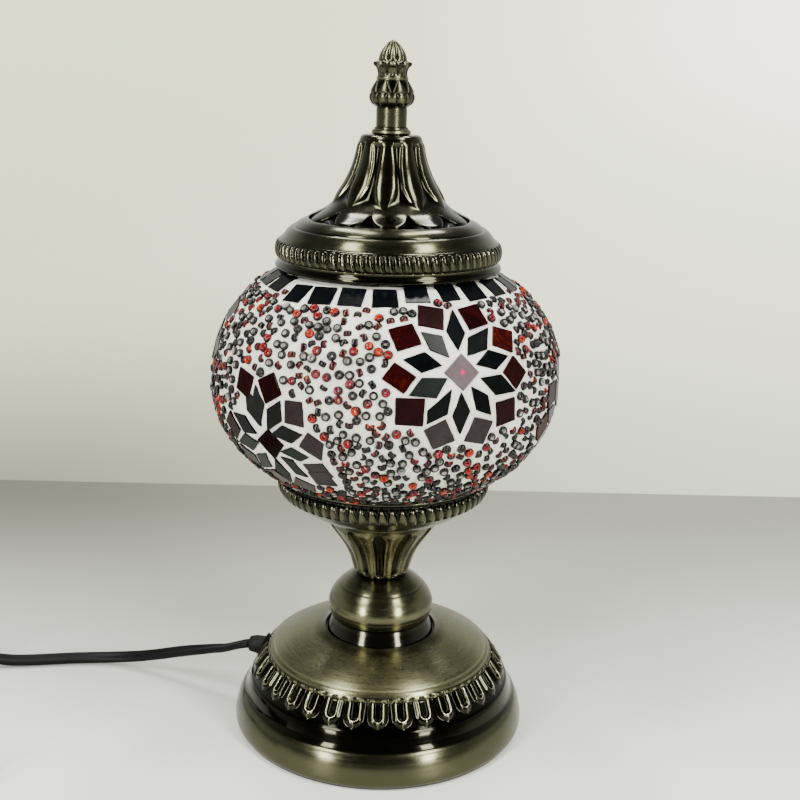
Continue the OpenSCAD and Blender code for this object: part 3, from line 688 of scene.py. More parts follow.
revolve("collar_ring", collar, np.zeros((0, 2)), M["brass_dark"], 240, d_collar, replaces=["stem_collar"])

ball = fine([(17.2, 42.95), (18.5, 42.95, 0.3), (18.9, 43.3, 0.3), (19.3, 44.4), (19.9, 46.2), (20.15, 48.2), (19.7, 50.5), (18.1, 53.5),
             (15.3, 56.6), (12.5, 58.7), (10.7, 59.7, 0.8), (9.6, 60.2, 0.3), (5.3, 60.35)], 0.3)


def d_ball(phi, r, z):
    d = lines_of(z, [46.3, 55.9], 0.20, 0.10)
    # dark turned lines; the top and the foot are darkened as painted shade where the ball meets the trumpet and the
    # collar
    t = 0.55 + 0.00 * band(z, 43.2, 46.1, 0.3) - 0.16 * np.exp(-((z - 46.3) / 0.3) ** 2) - 0.12 * np.exp(-((z - 55.9) / 0.14) ** 2) - 0.15 * sstep(z, 59.2, 60.0) - 0.2 * sstep(-z, -43.7, -43.0)
    return d + 0 * phi, t + 0 * phi


revolve("ball", ball, np.array([(5.3, 59.3), (10.0, 58.9), (12.2, 57.6), (14.6, 55.6), (16.9, 52.9), (18.5, 50.0), (18.9, 48.0), (18.7, 46.4), (18.1, 44.6), (17.2, 43.9)]),
        M["brass"], 240, d_ball, replaces=["stem_ball"])

# ---- fluted trumpet ----
trumpet = fine([(8.7, 60.4), (9.6, 60.4, 0.2), (10.0, 60.9, 0.3), (10.1, 61.6), (10.7, 63.4), (11.5, 66.4), (12.6, 69.6), (14.2, 72.9), (16.4, 76.2),
                (18.6, 79.2), (20.5, 81.8), (21.6, 83.6), (22.3, 84.4, 0.4), (22.4, 84.8, 0.3), (22.0, 85.1, 0.2), (21.0, 85.2)], 0.26)


def flute(phi, z, n, shift, half, z0, z1, e0, e1, depth):
    """A concave flute with rounded ends: z0..z1 long, half its half width in radians."""
    u = cell(phi, n, math.radians(shift)) * PI / n
    w0 = np.sqrt(np.clip(1 - np.clip((z0 + e0 - z) / e0, 0, 1) ** 2, 0, 1))
    w1 = np.sqrt(np.clip(1 - np.clip((z - (z1 - e1)) / e1, 0, 1) ** 2, 0, 1))
    w = np.maximum(half * w0 * w1, 1e-5)
    q = np.abs(u) / w
    inside = (z > z0) & (z < z1)
    g = np.where(inside, np.sqrt(np.clip(1 - q * q, 0, 1)), 0.0)
    open_ = np.minimum(1, w / half * 1.6)
    lip = np.where(inside, np.exp(-((q - 1.10) / 0.13) ** 2), 0.0) * open_
    return -depth * g * open_ + depth * 0.09 * lip, g * open_, lip


def d_trumpet(phi, r, z):
    n = 12
    d, g, lip = flute(phi, z, n, -3, math.radians(7.6), 61.4, 82.6, 1.6, 4.6, 1.45 * (0.55 + 0.45 * sstep(z, 62, 76)))
    u = cell(phi, n, math.radians(12.0))
    body = 1.2 * np.cos(u * PI / 2) * band(z, 62.6, 81.0, 2.4) * (1 - g)
    # dark flutes with faint light lips; the neck at the foot and the top edge are darkened as painted shade where the
    # trumpet meets the ball and the cup
    t = 0.56 - 0.52 * g + 0.06 * lip - 0.25 * band(z, 60.3, 61.4, 0.3) - 0.10 * band(z, 84.3, 85.3, 0.2)
    return d + 0.35 * body, np.clip(t, 0, 1)


trumpet_in = [(21.0, 84.6), (19.6, 82.6), (17.6, 79.6), (15.2, 76.2), (13.0, 72.9), (11.2, 69.6), (10.0, 66.4), (9.2, 63.4), (8.7, 61.6)]
revolve("fluted_trumpet", trumpet, np.array(trumpet_in), M["brass"], 480, d_trumpet, replaces=["fluted_stem"])

# ---- gallery cup ----
cup = fine([(5.3, 85.3), (21.4, 85.3, 0.3), (22.7, 85.35, 0.3), (24.6, 85.75), (27.2, 86.7), (29.8, 87.9), (32.4, 89.6), (34.6, 91.5), (35.7, 92.5, 0.4), (36.7, 92.9, 0.4), (37.8, 94.2),
            (38.6, 95.8), (38.95, 97.4), (38.7, 98.9, 0.6), (38.1, 99.6, 0.3), (38.1, 100.1, 0.2), (38.9, 100.5, 0.4), (39.3, 101.1, 0.4), (39.0, 101.7, 0.3),
            (38.3, 101.8, 0.3), (37.75, 101.2, 0.4), (37.6, 99.4), (37.0, 98.0), (36.0, 96.7), (34.0, 94.8), (31.4, 92.4), (28.0, 90.6), (24.4, 89.2), (22.4, 88.7), (5.3, 88.7)], 0.28)
GAD = 68


def gadroon(phi, v, n, slant, shift=0.0):
    """Rounded bosses side by side; v runs -1..1 across the band."""
    u = cell(phi + slant * v, n, shift)
    h = np.sqrt(np.clip(1 - (np.abs(u) / 0.93) ** 2.2, 0, 1)) * np.sqrt(np.clip(1 - np.abs(v) ** 2.6, 0, 1))
    return h, u


def d_cup(phi, r, z):
    outer_side = r > 22
    v = (z - 96.2) / 3.4
    u = cell(phi + 0.010 * v, GAD)
    wide = 0.50 + 0.44 * sstep(-v, -0.85, 0.25)
    h = np.sqrt(np.clip(1 - (np.abs(u) / wide) ** 2.2, 0, 1)) * np.sqrt(np.clip(1 - np.abs(v) ** 3.2, 0, 1))
    on = (np.abs(v) < 1) & (r > 35.9) & (z < 99.7)
    inner = (r < 37.9) & (z > 93.9) & (r < 35.9 + (z - 96.4) * 1.2)
    on = on & ~inner
    d = np.where(on, 1.15 * h - 0.35, 0.0)
    # painted highlight: a bright dot near the top of each gadroon, whose upper half is darkened as painted dark
    # reflection
    dot = np.exp(-((v - 0.66) / 0.16) ** 2) * np.exp(-(u / 0.30) ** 2)
    t = 0.5 + np.where(on, -0.44 + 0.44 * h ** 2.5 + 0.40 * dot - 0.10 * sstep(v, 0.0, 0.5), 0.0)
    # painted shadow in the groove under the rim's lip; painted shade at the joint with the trumpet; darker above the
    # gadroons and along the bead
    t = t - 0.38 * band(z, 99.7, 100.7, 0.3) - 0.12 * sstep(z, 92.6, 93.4) * (~on) - 0.18 * band(z, 85.2, 85.6, 0.2) - 0.10 * band(z, 92.4, 92.8, 0.2)
    return d, np.clip(t + 0 * phi, 0, 1)


revolve("gallery", cup, np.zeros((0, 2)), M["brass"], GAD * 12, d_cup, replaces=["gallery_cup"])

# ---- cap skirt ----
SKG = 76
skirt = fine([(38.4, 178.6), (39.2, 178.0, 0.3), (40.1, 177.95, 0.3), (40.5, 178.5, 0.3), (40.3, 179.3, 0.4), (39.6, 180.0, 0.4), (39.25, 180.6, 0.3), (39.4, 181.2, 0.3), (39.8, 182.2),
              (39.95, 183.8), (39.85, 185.6), (39.5, 187.0, 0.5), (38.9, 187.8, 0.3), (38.2, 188.2, 0.3), (37.3, 189.2), (36.4, 190.5), (35.3, 191.6), (34.5, 192.1, 0.4), (33.8, 191.95, 0.3),
              (33.4, 192.6, 0.4), (32.0, 193.75), (30.2, 194.7), (29.0, 195.0, 0.3), (28.45, 195.0, 0.2), (28.25, 194.5, 0.2), (29.4, 193.7), (31.4, 192.7), (33.0, 191.4), (34.4, 190.0),
              (35.8, 188.5), (36.9, 187.2), (37.8, 186.0), (38.5, 184.8), (38.6, 183.4), (38.3, 181.8), (38.1, 180.6), (38.0, 179.5, 0.3)], 0.25)


def d_skirt(phi, r, z):
    v = (z - 184.5) / 3.1
    u = cell(phi + 0.012 * v, SKG)
    h = np.sqrt(np.clip(1 - (np.abs(u) / 0.80) ** 2.4, 0, 1)) * np.sqrt(np.clip(1 - np.abs(v) ** 3, 0, 1))
    on = (np.abs(v) < 1) & (r > 39.2)
    d = np.where(on, 0.95 * h - 0.35, 0.0)
    edge = np.exp(-((np.abs(u) - 0.62) / 0.16) ** 2) * (np.abs(v) < 0.86)
    t = 0.5 + np.where(on, -0.45 + 0.22 * h + 0.34 * edge * sstep(h, 0.1, 0.5), 0.0)
    low = (z < 181.1) & (r > 38.9)
    # the upper dome above the gadroons is darkened as painted dark reflection, and the part tucked under the bell as
    # painted shade; dark lines in the grooves and a dark lip at the foot
    t = t - 0.08 * (z > 188.2) - 0.36 * low - 0.30 * np.exp(-((z - 187.9) / 0.3) ** 2) - 0.34 * np.exp(-((r - 33.8) / 0.35) ** 2) * (z > 190) - 0.25 * (r < 29.2)
    return d, np.clip(t + 0 * phi, 0, 1)


revolve("cap_rim", skirt, np.zeros((0, 2)), M["brass"], SKG * 12, d_skirt, body="cap", replaces=["cap_skirt"])

# ---- cap bell: eleven lobes round the openings, ten leaf-shaped ribs up its neck ----
bellp = fine([(29.0, 195.25), (28.4, 195.5), (27.2, 196.1), (25.7, 196.85), (23.7, 197.95), (22.0, 199.05), (20.6, 200.4), (18.9, 202.9), (17.3, 205.5),
              (16.0, 207.5), (14.6, 210.1), (13.4, 212.9), (12.5, 215.6), (11.8, 218.3), (11.4, 220.4), (11.1, 222.2), (10.6, 223.6, 0.4), (9.7, 224.15, 0.3), (8.2, 224.2), (2.4, 224.2)], 0.26)


def build_bell():
    n, per = 11, 60
    nu = n * per
    arc = np.concatenate([[0], np.cumsum(np.linalg.norm(np.diff(bellp, axis=0), axis=1))])
    S, A1 = arc[-1], np.interp(-19.4, -bellp[:, 0], arc)
    phi = np.arange(nu) * 2 * PI / nu
    gap = np.abs(cell(phi, n, PI / n)) * PI / n  # angle from the middle of an opening
    rho = np.interp(gap * 27.0, [0, 0.35, 0.8, 1.3, 2.0, 2.9, 3.8, 4.5, 5.0, 5.6, 8.0], [22.5, 22.75, 23.4, 24.6, 26.0, 27.1, 27.9, 28.35, 28.6, 28.8, 28.95])
    e = np.interp(-rho, -bellp[:, 0], arc)
    N2 = normals2(bellp)

    def at(a):
        return np.stack([np.interp(a, arc, bellp[:, 0]), np.interp(a, arc, bellp[:, 1])], -1), \
            np.stack([np.interp(a, arc, N2[:, 0]), np.interp(a, arc, N2[:, 1])], -1)

    rows_o = np.arange(0, S, 0.26)
    rows_i = np.concatenate([np.arange(S, 8, -0.9), np.arange(8, -0.01, -0.5)])
    V, T = [], []
    for kind, rows in (("o", rows_o), ("i", rows_i)):
        for a in rows:
            aa = np.where(a < A1, e + a * (A1 - e) / A1, a)
            p, nn = at(aa)
            r, z = p[:, 0], p[:, 1]
            low = sstep(r, 21.0, 26.0)
            lobe = np.cos(np.clip(cell(phi, n), -1, 1) * PI / 2) ** 0.8
            if kind == "o":
                # leaf-shaped ribs, pointed at the foot, with deep hollows between them
                u = np.abs(cell(phi, 10, math.radians(-6))) * 18.0
                wr = 12.6 * np.sqrt(np.clip((z - 200.3) / 7.0, 0.0, 1)) * (1 - 0.22 * sstep(z, 214, 222.5)) + 1e-4
                q = u / wr
                rib = np.where(q < 1, np.sqrt(np.clip(1 - q * q, 0, 1)), 0.0)
                hollow = np.where(q >= 1, np.sin(PI * np.clip((u - wr) / (2 * (18.0 - wr)), 0, 0.5)), 0.0)
                live = sstep(z, 199.6, 204.0) * (1 - sstep(z, 220.2, 222.4))
                lip = np.exp(-((q - 1.0) / 0.10) ** 2) * sstep(z, 201.0, 203.0)
                d = live * (0.62 * rib - 0.95 * hollow ** 0.6 + 0.06 * lip)
                d = d + low * (0.30 * lobe - 0.12)
                dist = np.minimum((aa - e), 6.0)
                d = d - 0.30 * np.exp(-dist / 0.35) * low
                # the ring of lobes round the openings is darkened as painted shade, more between the lobes; dark
                # hollows and light rib edges
                t = 0.38 + live * (-0.08 * rib - 0.32 * hollow ** 0.6 + 0.34 * lip) - 0.06 * low * (1 - lobe) - 0.22 * low
                t = t - 0.12 * band(z, 222.4, 222.8, 0.3)
            else:
                d = -0.9 + 0 * phi
                d = d + low * (0.30 * lobe - 0.12) * 0.9
                d = d - 1.0 * band(z, 202.0, 222.0, 2.0)
                t = 0.2 + 0 * phi
            rr, zz = r + d * nn[:, 0], z + d * nn[:, 1]
            V.append(np.stack([rr * np.sin(phi), -rr * np.cos(phi), zz], 1))
            T.append(np.clip(t, 0, 1))
    n_rows = len(V)
    i, j = np.arange(n_rows)[:, None], np.arange(nu)[None, :]
    jn, ii = (j + 1) % nu, (np.arange(n_rows)[:, None] + 1) % n_rows
    q = np.stack([i * nu + j, i * nu + jn, ii * nu + jn, ii * nu + j], 2).reshape(-1, 4)
    return make("pierced_bell", np.concatenate(V), q, M["brass"], "cap", ["cap_bell"], attrs={"tone": np.concatenate(T)})


build_bell()

# ---- neck and finial ----
ferrule = fine([(2.4, 224.25), (6.0, 224.25, 0.2), (6.8, 224.5, 0.3), (6.95, 225.1), (6.6, 225.8, 0.3), (5.95, 226.1, 0.2), (5.9, 226.75, 0.2), (2.4, 226.8)], 0.12)
revolve("neck_ring", ferrule, np.zeros((0, 2)), M["brass_cast"], 120, lambda p, r, z: (0.05 * np.cos(p * 9 + 2) * 0 + 0 * p, 0.42 + 0.2 * band(z, 224.8, 225.4, 0.3) + 0 * p),
        body="cap", replaces=["neck_ferrule"])
sleeve = fine([(2.4, 226.85), (5.35, 226.85, 0.15), (5.4, 227.5), (5.38, 230.0), (5.4, 232.9), (5.3, 233.45, 0.15), (2.4, 233.45)], 0.12)
revolve("neck_tube", sleeve, np.zeros((0, 2)), M["brass_cast"], 120,
        lambda p, r, z: (0.035 * np.sin(z * 21 + 0.4 * np.sin(p * 3)) * (r > 5), 0.42 + 0.10 * np.sin(z * 21) + 0 * p),
        body="cap", replaces=["neck_sleeve"])

fin = fine([(2.1, 233.55, 0.1), (5.4, 233.55, 0.2), (6.3, 233.9, 0.3), (7.1, 234.8), (7.65, 236.0), (7.8, 237.3), (7.6, 238.6), (6.9, 240.2), (6.0, 241.7),
            (5.4, 242.8, 0.3), (5.6, 243.3, 0.2), (5.2, 243.8, 0.2), (5.1, 244.6), (5.3, 245.8, 0.5), (5.9, 247.0), (6.3, 247.8, 0.4), (6.0, 248.5, 0.3), (5.0, 248.9, 0.3), (4.7, 249.6, 0.5), (4.5, 250.6), (3.9, 251.9),
            (3.1, 253.1), (2.1, 254.3), (1.2, 255.3), (0.5, 255.8, 0.3), (0.06, 255.9)], 0.15)


def d_fin(phi, r, z):
    t = 0.44 + 0 * phi
    # round lobes along the lower edge of the knob
    u = cell(phi, 13)
    vb = (z - 236.1) / 2.3
    on = np.abs(vb) < 1
    lobe = np.sqrt(np.clip(1 - (np.abs(u) / 0.95) ** 2.2, 0, 1)) * np.sqrt(np.clip(1 - np.abs(vb) ** 2.4, 0, 1))
    d = np.where(on, 0.60 * lobe - 0.38, 0.0)
    t = t + np.where(on, -0.38 + 0.5 * lobe, 0.0)
    # swags: leaves rising from the lobes to the ring
    u2 = np.abs(cell(phi, 8, PI / 8))
    reach = np.clip((242.6 - z) / 4.4, 0, 1)
    m2 = band(z, 238.9, 242.2, 0.5)
    leaf = np.clip(1 - (u2 / (0.15 + 0.80 * reach ** 0.7)) ** 2, 0, 1)
    d = d + m2 * (0.50 * np.sqrt(leaf) - 0.22)
    t = t + m2 * (-0.34 + 0.42 * leaf - 0.12 * np.exp(-(u2 / 0.07) ** 2))
    ring_ = band(z, 242.9, 243.4, 0.25)
    t = t + 0.14 * ring_
    # waist with upright leaves, their tips curled out
    nl = 8
    u3 = np.abs(cell(phi, nl))
    waist = band(z, 244.2, 248.2, 0.5)
    rise = sstep(z, 244.0, 248.0)
    tip = np.clip(1 - (u3 / (0.55 + 0.38 * (1 - rise) + 0.12)) ** 2, 0, 1)
    curl = sstep(z, 246.6, 247.9)
    d = d + waist * (0.30 * np.sqrt(tip) - 0.30 + 0.55 * curl * tip) - 0.12 * waist * np.exp(-(u3 / 0.08) ** 2)
    t = t + waist * (-0.32 + 0.34 * tip + 0.22 * curl * tip) - 0.10 * waist * np.exp(-(u3 / 0.07) ** 2)
    # ribbed bud
    u4 = np.abs(cell(phi, 11))
    bud = sstep(z, 248.9, 249.6) * (1 - sstep(z, 254.9, 255.8))
    rib = np.cos(u4 * PI / 2) ** 0.8
    d = d + bud * (0.46 * rib - 0.24) * np.minimum(1, r / 2.2)
    t = t + bud * (-0.30 + 0.46 * rib)
    return d, np.clip(t, 0, 1)


fin_in = np.array([(0.06, 247.0), (2.1, 246.0)])
revolve("finial_bud", fin, fin_in, M["brass_cast"], 288, d_fin, body="finial_knob", replaces=["finial"])
# ---------------------------------------------------------------------------
# Globe: plaster, cut tiles and seed beads
# ---------------------------------------------------------------------------
GA, GZ, GLO, GUP, GN = 64.0, 138.5, 45.3, 47.8, 2.2


def polar(e, d=0.0):
    b = np.where(e >= 0, GUP, GLO) - d
    return ((np.cos(e) / (GA - d)) ** GN + (np.abs(np.sin(e)) / b) ** GN) ** (-1 / GN)


def gpt(az, e, d=0.0):
    """Point of the globe d mm under its outer surface; az in radians from +X, -90 degrees at the front."""
    p = polar(e, d)
    return np.stack([p * np.cos(e) * np.cos(az), p * np.cos(e) * np.sin(az), GZ + p * np.sin(e)], -1)


def gframe(az, e):
    """Down the slope, to the east and outwards."""
    b = np.where(e >= 0, GUP, GLO)
    t = np.arctan2((np.cos(e) / GA) ** (GN - 1) / GA, np.sign(e) * (np.abs(np.sin(e)) / b) ** (GN - 1) / b)
    dn = np.stack([np.cos(t) * np.cos(az), np.cos(t) * np.sin(az), -np.sin(t)], -1)
    ea = np.stack([-np.sin(az), np.cos(az), 0 * az], -1)
    nn = np.stack([np.sin(t) * np.cos(az), np.sin(t) * np.sin(az), np.cos(t)], -1)
    return dn, ea, nn


def walk(a0, e0, rho, t):
    """Azimuth and elevation at distance rho and bearing t (0 east, 90 up) from a flower's centre, in degrees."""
    a0, e0, t = math.radians(a0), math.radians(e0), math.radians(t)
    al = rho / 62.0
    n0 = np.array([math.cos(e0) * math.cos(a0), math.cos(e0) * math.sin(a0), math.sin(e0)])
    e1 = np.array([-math.sin(a0), math.cos(a0), 0])
    e2 = np.cross(n0, e1)
    v = n0 * math.cos(al) + (e1 * math.cos(t) + e2 * math.sin(t)) * math.sin(al)
    return math.degrees(math.atan2(v[1], v[0])), math.degrees(math.asin(v[2]))


def away(a0, e0, rho, t):
    p, q = walk(a0, e0, rho, t), walk(a0, e0, rho + 1, t)
    return math.atan2(((q[0] - p[0] + 180) % 360 - 180) * math.cos(math.radians(p[1])), -(q[1] - p[1]))


# Corner points of the tiles that face the camera: azimuth, elevation, and (down, east) in mm.
PET_1 = [
    (-78.54, 17.21, [(3.36, -0.60), (1.19, 6.25), (-3.41, 0.79), (-1.13, -6.44)]),
    (-73.71, 22.78, [(2.04, -2.19), (4.87, 3.85), (-2.61, 2.54), (-4.29, -4.20)]),
    (-65.25, 26.62, [(-0.16, -3.70), (7.01, -1.26), (1.04, 3.02), (-7.89, 1.05)]),
    (-58.35, 22.21, [(4.08, -5.45), (2.80, 2.69), (-4.76, 5.67), (-2.12, -3.20)]),
    (-54.38, 16.33, [(0.68, -6.97), (3.43, 0.50), (-0.53, 7.01), (-3.58, -0.94)]),
    (-53.51, 8.72, [(3.29, -1.42), (3.12, 7.04), (-3.24, 1.42), (-3.16, -7.24)]),
    (-60.03, 4.38, [(2.51, -2.20), (4.87, 3.63), (-1.92, 2.45), (-5.47, -3.89)]),
    (-67.04, 1.52, [(0.59, -3.10), (6.92, -0.20), (-0.54, 3.28), (-6.98, 0.01)]),
    (-74.23, 3.19, [(0.04, -3.64), (4.64, -3.81), (1.66, 3.08), (-6.33, 4.38)]),
    (-77.14, 9.83, [(-3.19, -2.15), (2.39, -6.59), (3.60, 2.47), (-2.81, 6.27)]),
]
SQ_1 = [
    (-73.47, 31.93, [(2.95, -4.95), (5.14, 3.22), (-3.09, 5.01), (-5.00, -3.28)], 0.16),
    (-55.97, 31.07, [(4.84, -3.70), (3.40, 4.43), (-4.66, 3.65), (-3.59, -4.37)], 0.12),
    (-47.34, 22.22, [(1.58, -5.90), (5.19, 2.21), (-1.88, 5.68), (-4.89, -1.98)], 0.96),
    (-45.96, 11.41, [(-0.89, -5.67), (5.56, -0.48), (0.80, 5.59), (-5.48, 0.56)], 0.22),
    (-50.81, 0.06, [(4.66, -3.74), (3.57, 4.40), (-4.43, 3.76), (-3.79, -4.41)], 0.05),
    (-60.70, -4.58, [(2.91, -5.34), (4.99, 2.30), (-2.82, 5.15), (-5.08, -2.11)], -1.0),
    (-73.60, -4.58, [(4.96, -1.82), (2.22, 5.42), (-5.28, 1.77), (-1.91, -5.38)], -1.0),
    (-82.79, 2.79, [(4.11, -4.66), (4.82, 4.34), (-4.29, 4.87), (-4.64, -4.55)], 0.10),
    (-86.01, 12.77, [(0.28, -5.54), (5.08, 1.47), (-0.35, 5.54), (-5.00, -1.47)], 0.42),
    (-83.87, 25.20, [(4.96, -2.65), (2.48, 5.29), (-4.74, 2.58), (-2.70, -5.22)], 0.34),
]
CE_1 = (-66.12, 13.70, [(0.53, 6.10), (-6.02, 0.48), (-0.36, -6.34), (5.86, -0.25)])
PET_2 = {
    2: (-131.88, 0.30, [(0.17, -2.79), (6.30, 1.07), (-0.45, 3.10), (-6.02, -1.38)]),
    3: (-125.33, -2.11, [(-1.67, -2.98), (5.86, -3.09), (1.39, 3.32), (-5.59, 2.75)]),
    4: (-120.87, -7.40, [(1.08, -6.50), (2.99, 1.52), (-0.99, 6.46), (-3.08, -1.48)]),
    5: (-119.01, -14.14, [(-0.10, -5.79), (2.70, 1.37), (0.17, 5.39), (-2.77, -0.97)]),
    6: (-121.30, -20.00, [(3.80, -0.69), (3.87, 4.14), (-3.62, 0.71), (-4.06, -4.16)]),
}
SQ_2 = {
    2: (-127.27, 6.08, [(5.60, -1.17), (1.39, 5.47), (-5.32, 1.09), (-1.67, -5.39)], 0.12),
    3: (-117.91, -0.11, [(3.81, -3.52), (4.26, 3.72), (-4.17, 3.15), (-3.90, -3.36)], -0.6),
    4: (-112.05, -9.81, [(0.84, -5.12), (5.33, 2.48), (-1.40, 4.12), (-4.76, -1.48)], -0.8),
    5: (-111.99, -19.69, [(4.18, -2.28), (2.21, 5.04), (-4.14, 2.33), (-2.26, -5.09)], -1.0),
    1: (-138.51, 5.54, [(2.66, -4.25), (4.92, 2.85), (-2.85, 4.57), (-4.73, -3.18)], 0.16),
}
RIM_1 = [
    (-132.36, 38.23, [(4.33, -3.59), (3.84, 3.61), (-4.42, 3.70), (-3.75, -3.72)]),
    (-119.27, 39.03, [(4.35, -3.67), (3.48, 4.76), (-4.30, 3.57), (-3.53, -4.65)]),
    (-105.58, 39.56, [(4.14, -3.94), (4.06, 4.26), (-4.11, 4.01), (-4.09, -4.32)]),
    (-91.01, 39.69, [(4.22, -4.15), (4.05, 4.56), (-4.11, 3.69), (-4.17, -4.10)]),
    (-76.86, 41.69, [(3.96, -4.30), (4.12, 4.00), (-3.99, 3.93), (-4.09, -3.63)]),
    (-61.33, 41.86, [(4.10, -3.55), (3.69, 3.26), (-3.83, 3.57), (-3.95, -3.29)]),
    (-47.34, 41.34, [(4.25, -4.55), (4.07, 3.91), (-4.01, 4.37), (-4.31, -3.72)]),
    (-30.60, 41.05, [(3.82, -4.60), (4.15, 2.75), (-3.47, 4.74), (-4.50, -2.90)]),
    (-14.51, 39.83, [(3.25, -4.82), (4.20, 2.64), (-2.86, 5.20), (-4.59, -3.33)]),
]
tr = np.random.default_rng(5)


def wobble(poly, s=0.16):
    return [(x + tr.normal(0, s), y + tr.normal(0, s)) for x, y in poly]


def spin(poly, g):
    c, s = math.cos(g), math.sin(g)
    return [(x * c - y * s, x * s + y * c) for x, y in poly]


TILES = {"rim": [], "petal": [], "square": [], "centre": []}
for k in range(25):
    az = -91 + k * 14.4
    near = [q for q in RIM_1 if abs((q[0] - az + 180) % 360 - 180) < 5.2]
    if near and not any(near[0] is t[4] for t in TILES["rim"]):
        q = near[0]
        TILES["rim"].append((q[0], q[1], q[2], tr.random(), q))
    else:
        TILES["rim"].append((az + tr.normal(0, 0.5), 40.6 + tr.normal(0, 0.5), wobble([(-4.1, -3.8), (4.1, -4.3), (4.1, 4.0), (-4.1, 3.9)], 0.25), tr.random(), None))
RHOMB = [(-6.7, 0.0), (0.0, -3.5), (6.7, 0.0), (0.0, 3.5)]
SQR = [(-5.5, 0.0), (0.0, -5.5), (5.5, 0.0), (0.0, 5.5)]
for k in range(3):
    for a0, e0, P0, S0 in ((-66.3 + 120 * k, 13.4, PET_1, SQ_1), (-128 + 120 * k, -12.0, PET_2, SQ_2)):
        first = k == 0
        upper = P0 is PET_1
        if first and upper:
            for q in PET_1:
                TILES["petal"].append((q[0], q[1], q[2], tr.random(), None))
            for q in SQ_1:
                TILES["square"].append((q[0], q[1], q[2], q[3], None))
            TILES["centre"].append((CE_1[0], CE_1[1], CE_1[2], 0.8, None))
            continue
        TILES["centre"].append((a0, e0, wobble(spin([(-5.9, 0), (0, -5.9), (5.9, 0), (0, 5.9)], tr.normal(0, 0.06)), 0.2), -1.0 if (first and not upper) else tr.random(), None))
        for j in range(10):
            t = 87 - 36 * (j - 2)
            if first and j in PET_2:
                q = PET_2[j]
                TILES["petal"].append((q[0], q[1], q[2], tr.random() * 0.4 + 0.6, None))
            else:
                p = walk(a0, e0, 13.1 + tr.normal(0, 0.2), t + tr.normal(0, 1.0))
                TILES["petal"].append((p[0], p[1], wobble(spin(RHOMB, away(a0, e0, 13.1, t)), 0.22), tr.random() * 0.5 + (0.5 if not upper else 0.0), None))
            t += 18
            if first and j in SQ_2:
                q = SQ_2[j]
                TILES["square"].append((q[0], q[1], q[2], q[3], None))
            else:
                p = walk(a0, e0, 20.8 + tr.normal(0, 0.2), t + tr.normal(0, 1.0))
                sqr = wobble(spin(SQR, away(a0, e0, 20.8, t)), 0.24)
                if upper:
                    # the upper squares are cut back where the band of tiles passes over them
                    lim = (p[1] - 36.2) / 57.3 * 60.0 + 0.2
                    sqr = [(max(x, lim), y) for x, y in sqr]
                v = tr.random()
                TILES["square"].append((p[0], p[1], sqr, v * 0.5 if v < 0.75 else (0.9 if v < 0.85 else -1.0), None))

TOP = 0.95   # how far under the bead tops the middle of a tile's face lies
polys3 = []  # the tiles' outlines in space, to keep the beads off them


def tile_piece(name, items, mat, replaces):
    V, F, rnd, loc = [], [], [], []
    for az, e, poly, value, _ in items:
        a, ee = np.radians(az), np.radians(e)
        poly = np.array(poly, float)
        area = 0.5 * sum(poly[i, 0] * poly[(i + 1) % len(poly), 1] - poly[(i + 1) % len(poly), 0] * poly[i, 1] for i in range(len(poly)))
        if area < 0:
            poly = poly[::-1]
        dn, ea, nn = gframe(a, ee)
        c = gpt(a, ee, TOP + tr.normal(0, 0.04))
        # each tile lies a little out of true
        tx, ty = tr.normal(0, 0.012, 2)
        nn2 = nn + dn * tx + ea * ty
        nn2 /= np.linalg.norm(nn2)
        dn2 = dn - nn2 * np.dot(dn, nn2)
        dn2 /= np.linalg.norm(dn2)
        ea2 = np.cross(nn2, dn2)
        # cut edges: short straight breaks and small chips
        out = []
        m = 5
        for i in range(len(poly)):
            p, q = poly[i], poly[(i + 1) % len(poly)]
            d = q - p
            ln = np.linalg.norm(d)
            if ln < 0.4:
                out.append(p)
                continue
            n2 = np.array([-d[1], d[0]]) / ln
            for j in range(m):
                w = 0 if j == 0 else tr.normal(0, 0.045)
                out.append(p + d * (j / m) - n2 * abs(w) * 1.2)
        P = np.array(out)
        cen = P.mean(0)
        n = len(P)
        P1 = cen + (P - cen) * (1 - 0.05 / np.linalg.norm(P - cen, axis=1))[:, None]
        P2 = cen + (P - cen) * (1 - 0.17 / np.linalg.norm(P - cen, axis=1))[:, None]
        base = len(V)
        for ring_, h in ((P, -2.0), (P, -0.16), (P1, -0.05), (P2, 0.0)):
            for x, y in ring_:
                V.append(c + dn2 * x + ea2 * y + nn2 * h)
                rnd.append(value)
                loc.append((x - cen[0], y - cen[1], h))
        for r_ in range(3):
            for i in range(n):
                j = (i + 1) % n
                F.append((base + r_ * n + i, base + r_ * n + j, base + (r_ + 1) * n + j, base + (r_ + 1) * n + i))
        F.append(tuple(base + 3 * n + i for i in range(n)))
        F.append(tuple(base + i for i in range(n - 1, -1, -1)))
        polys3.append((c, dn2, ea2, nn2, P, np.abs(P - cen).max() + 3.5))
    return make(name, V, F, mat, replaces=replaces, smooth=False, attrs={"rnd": rnd, "loc": loc})


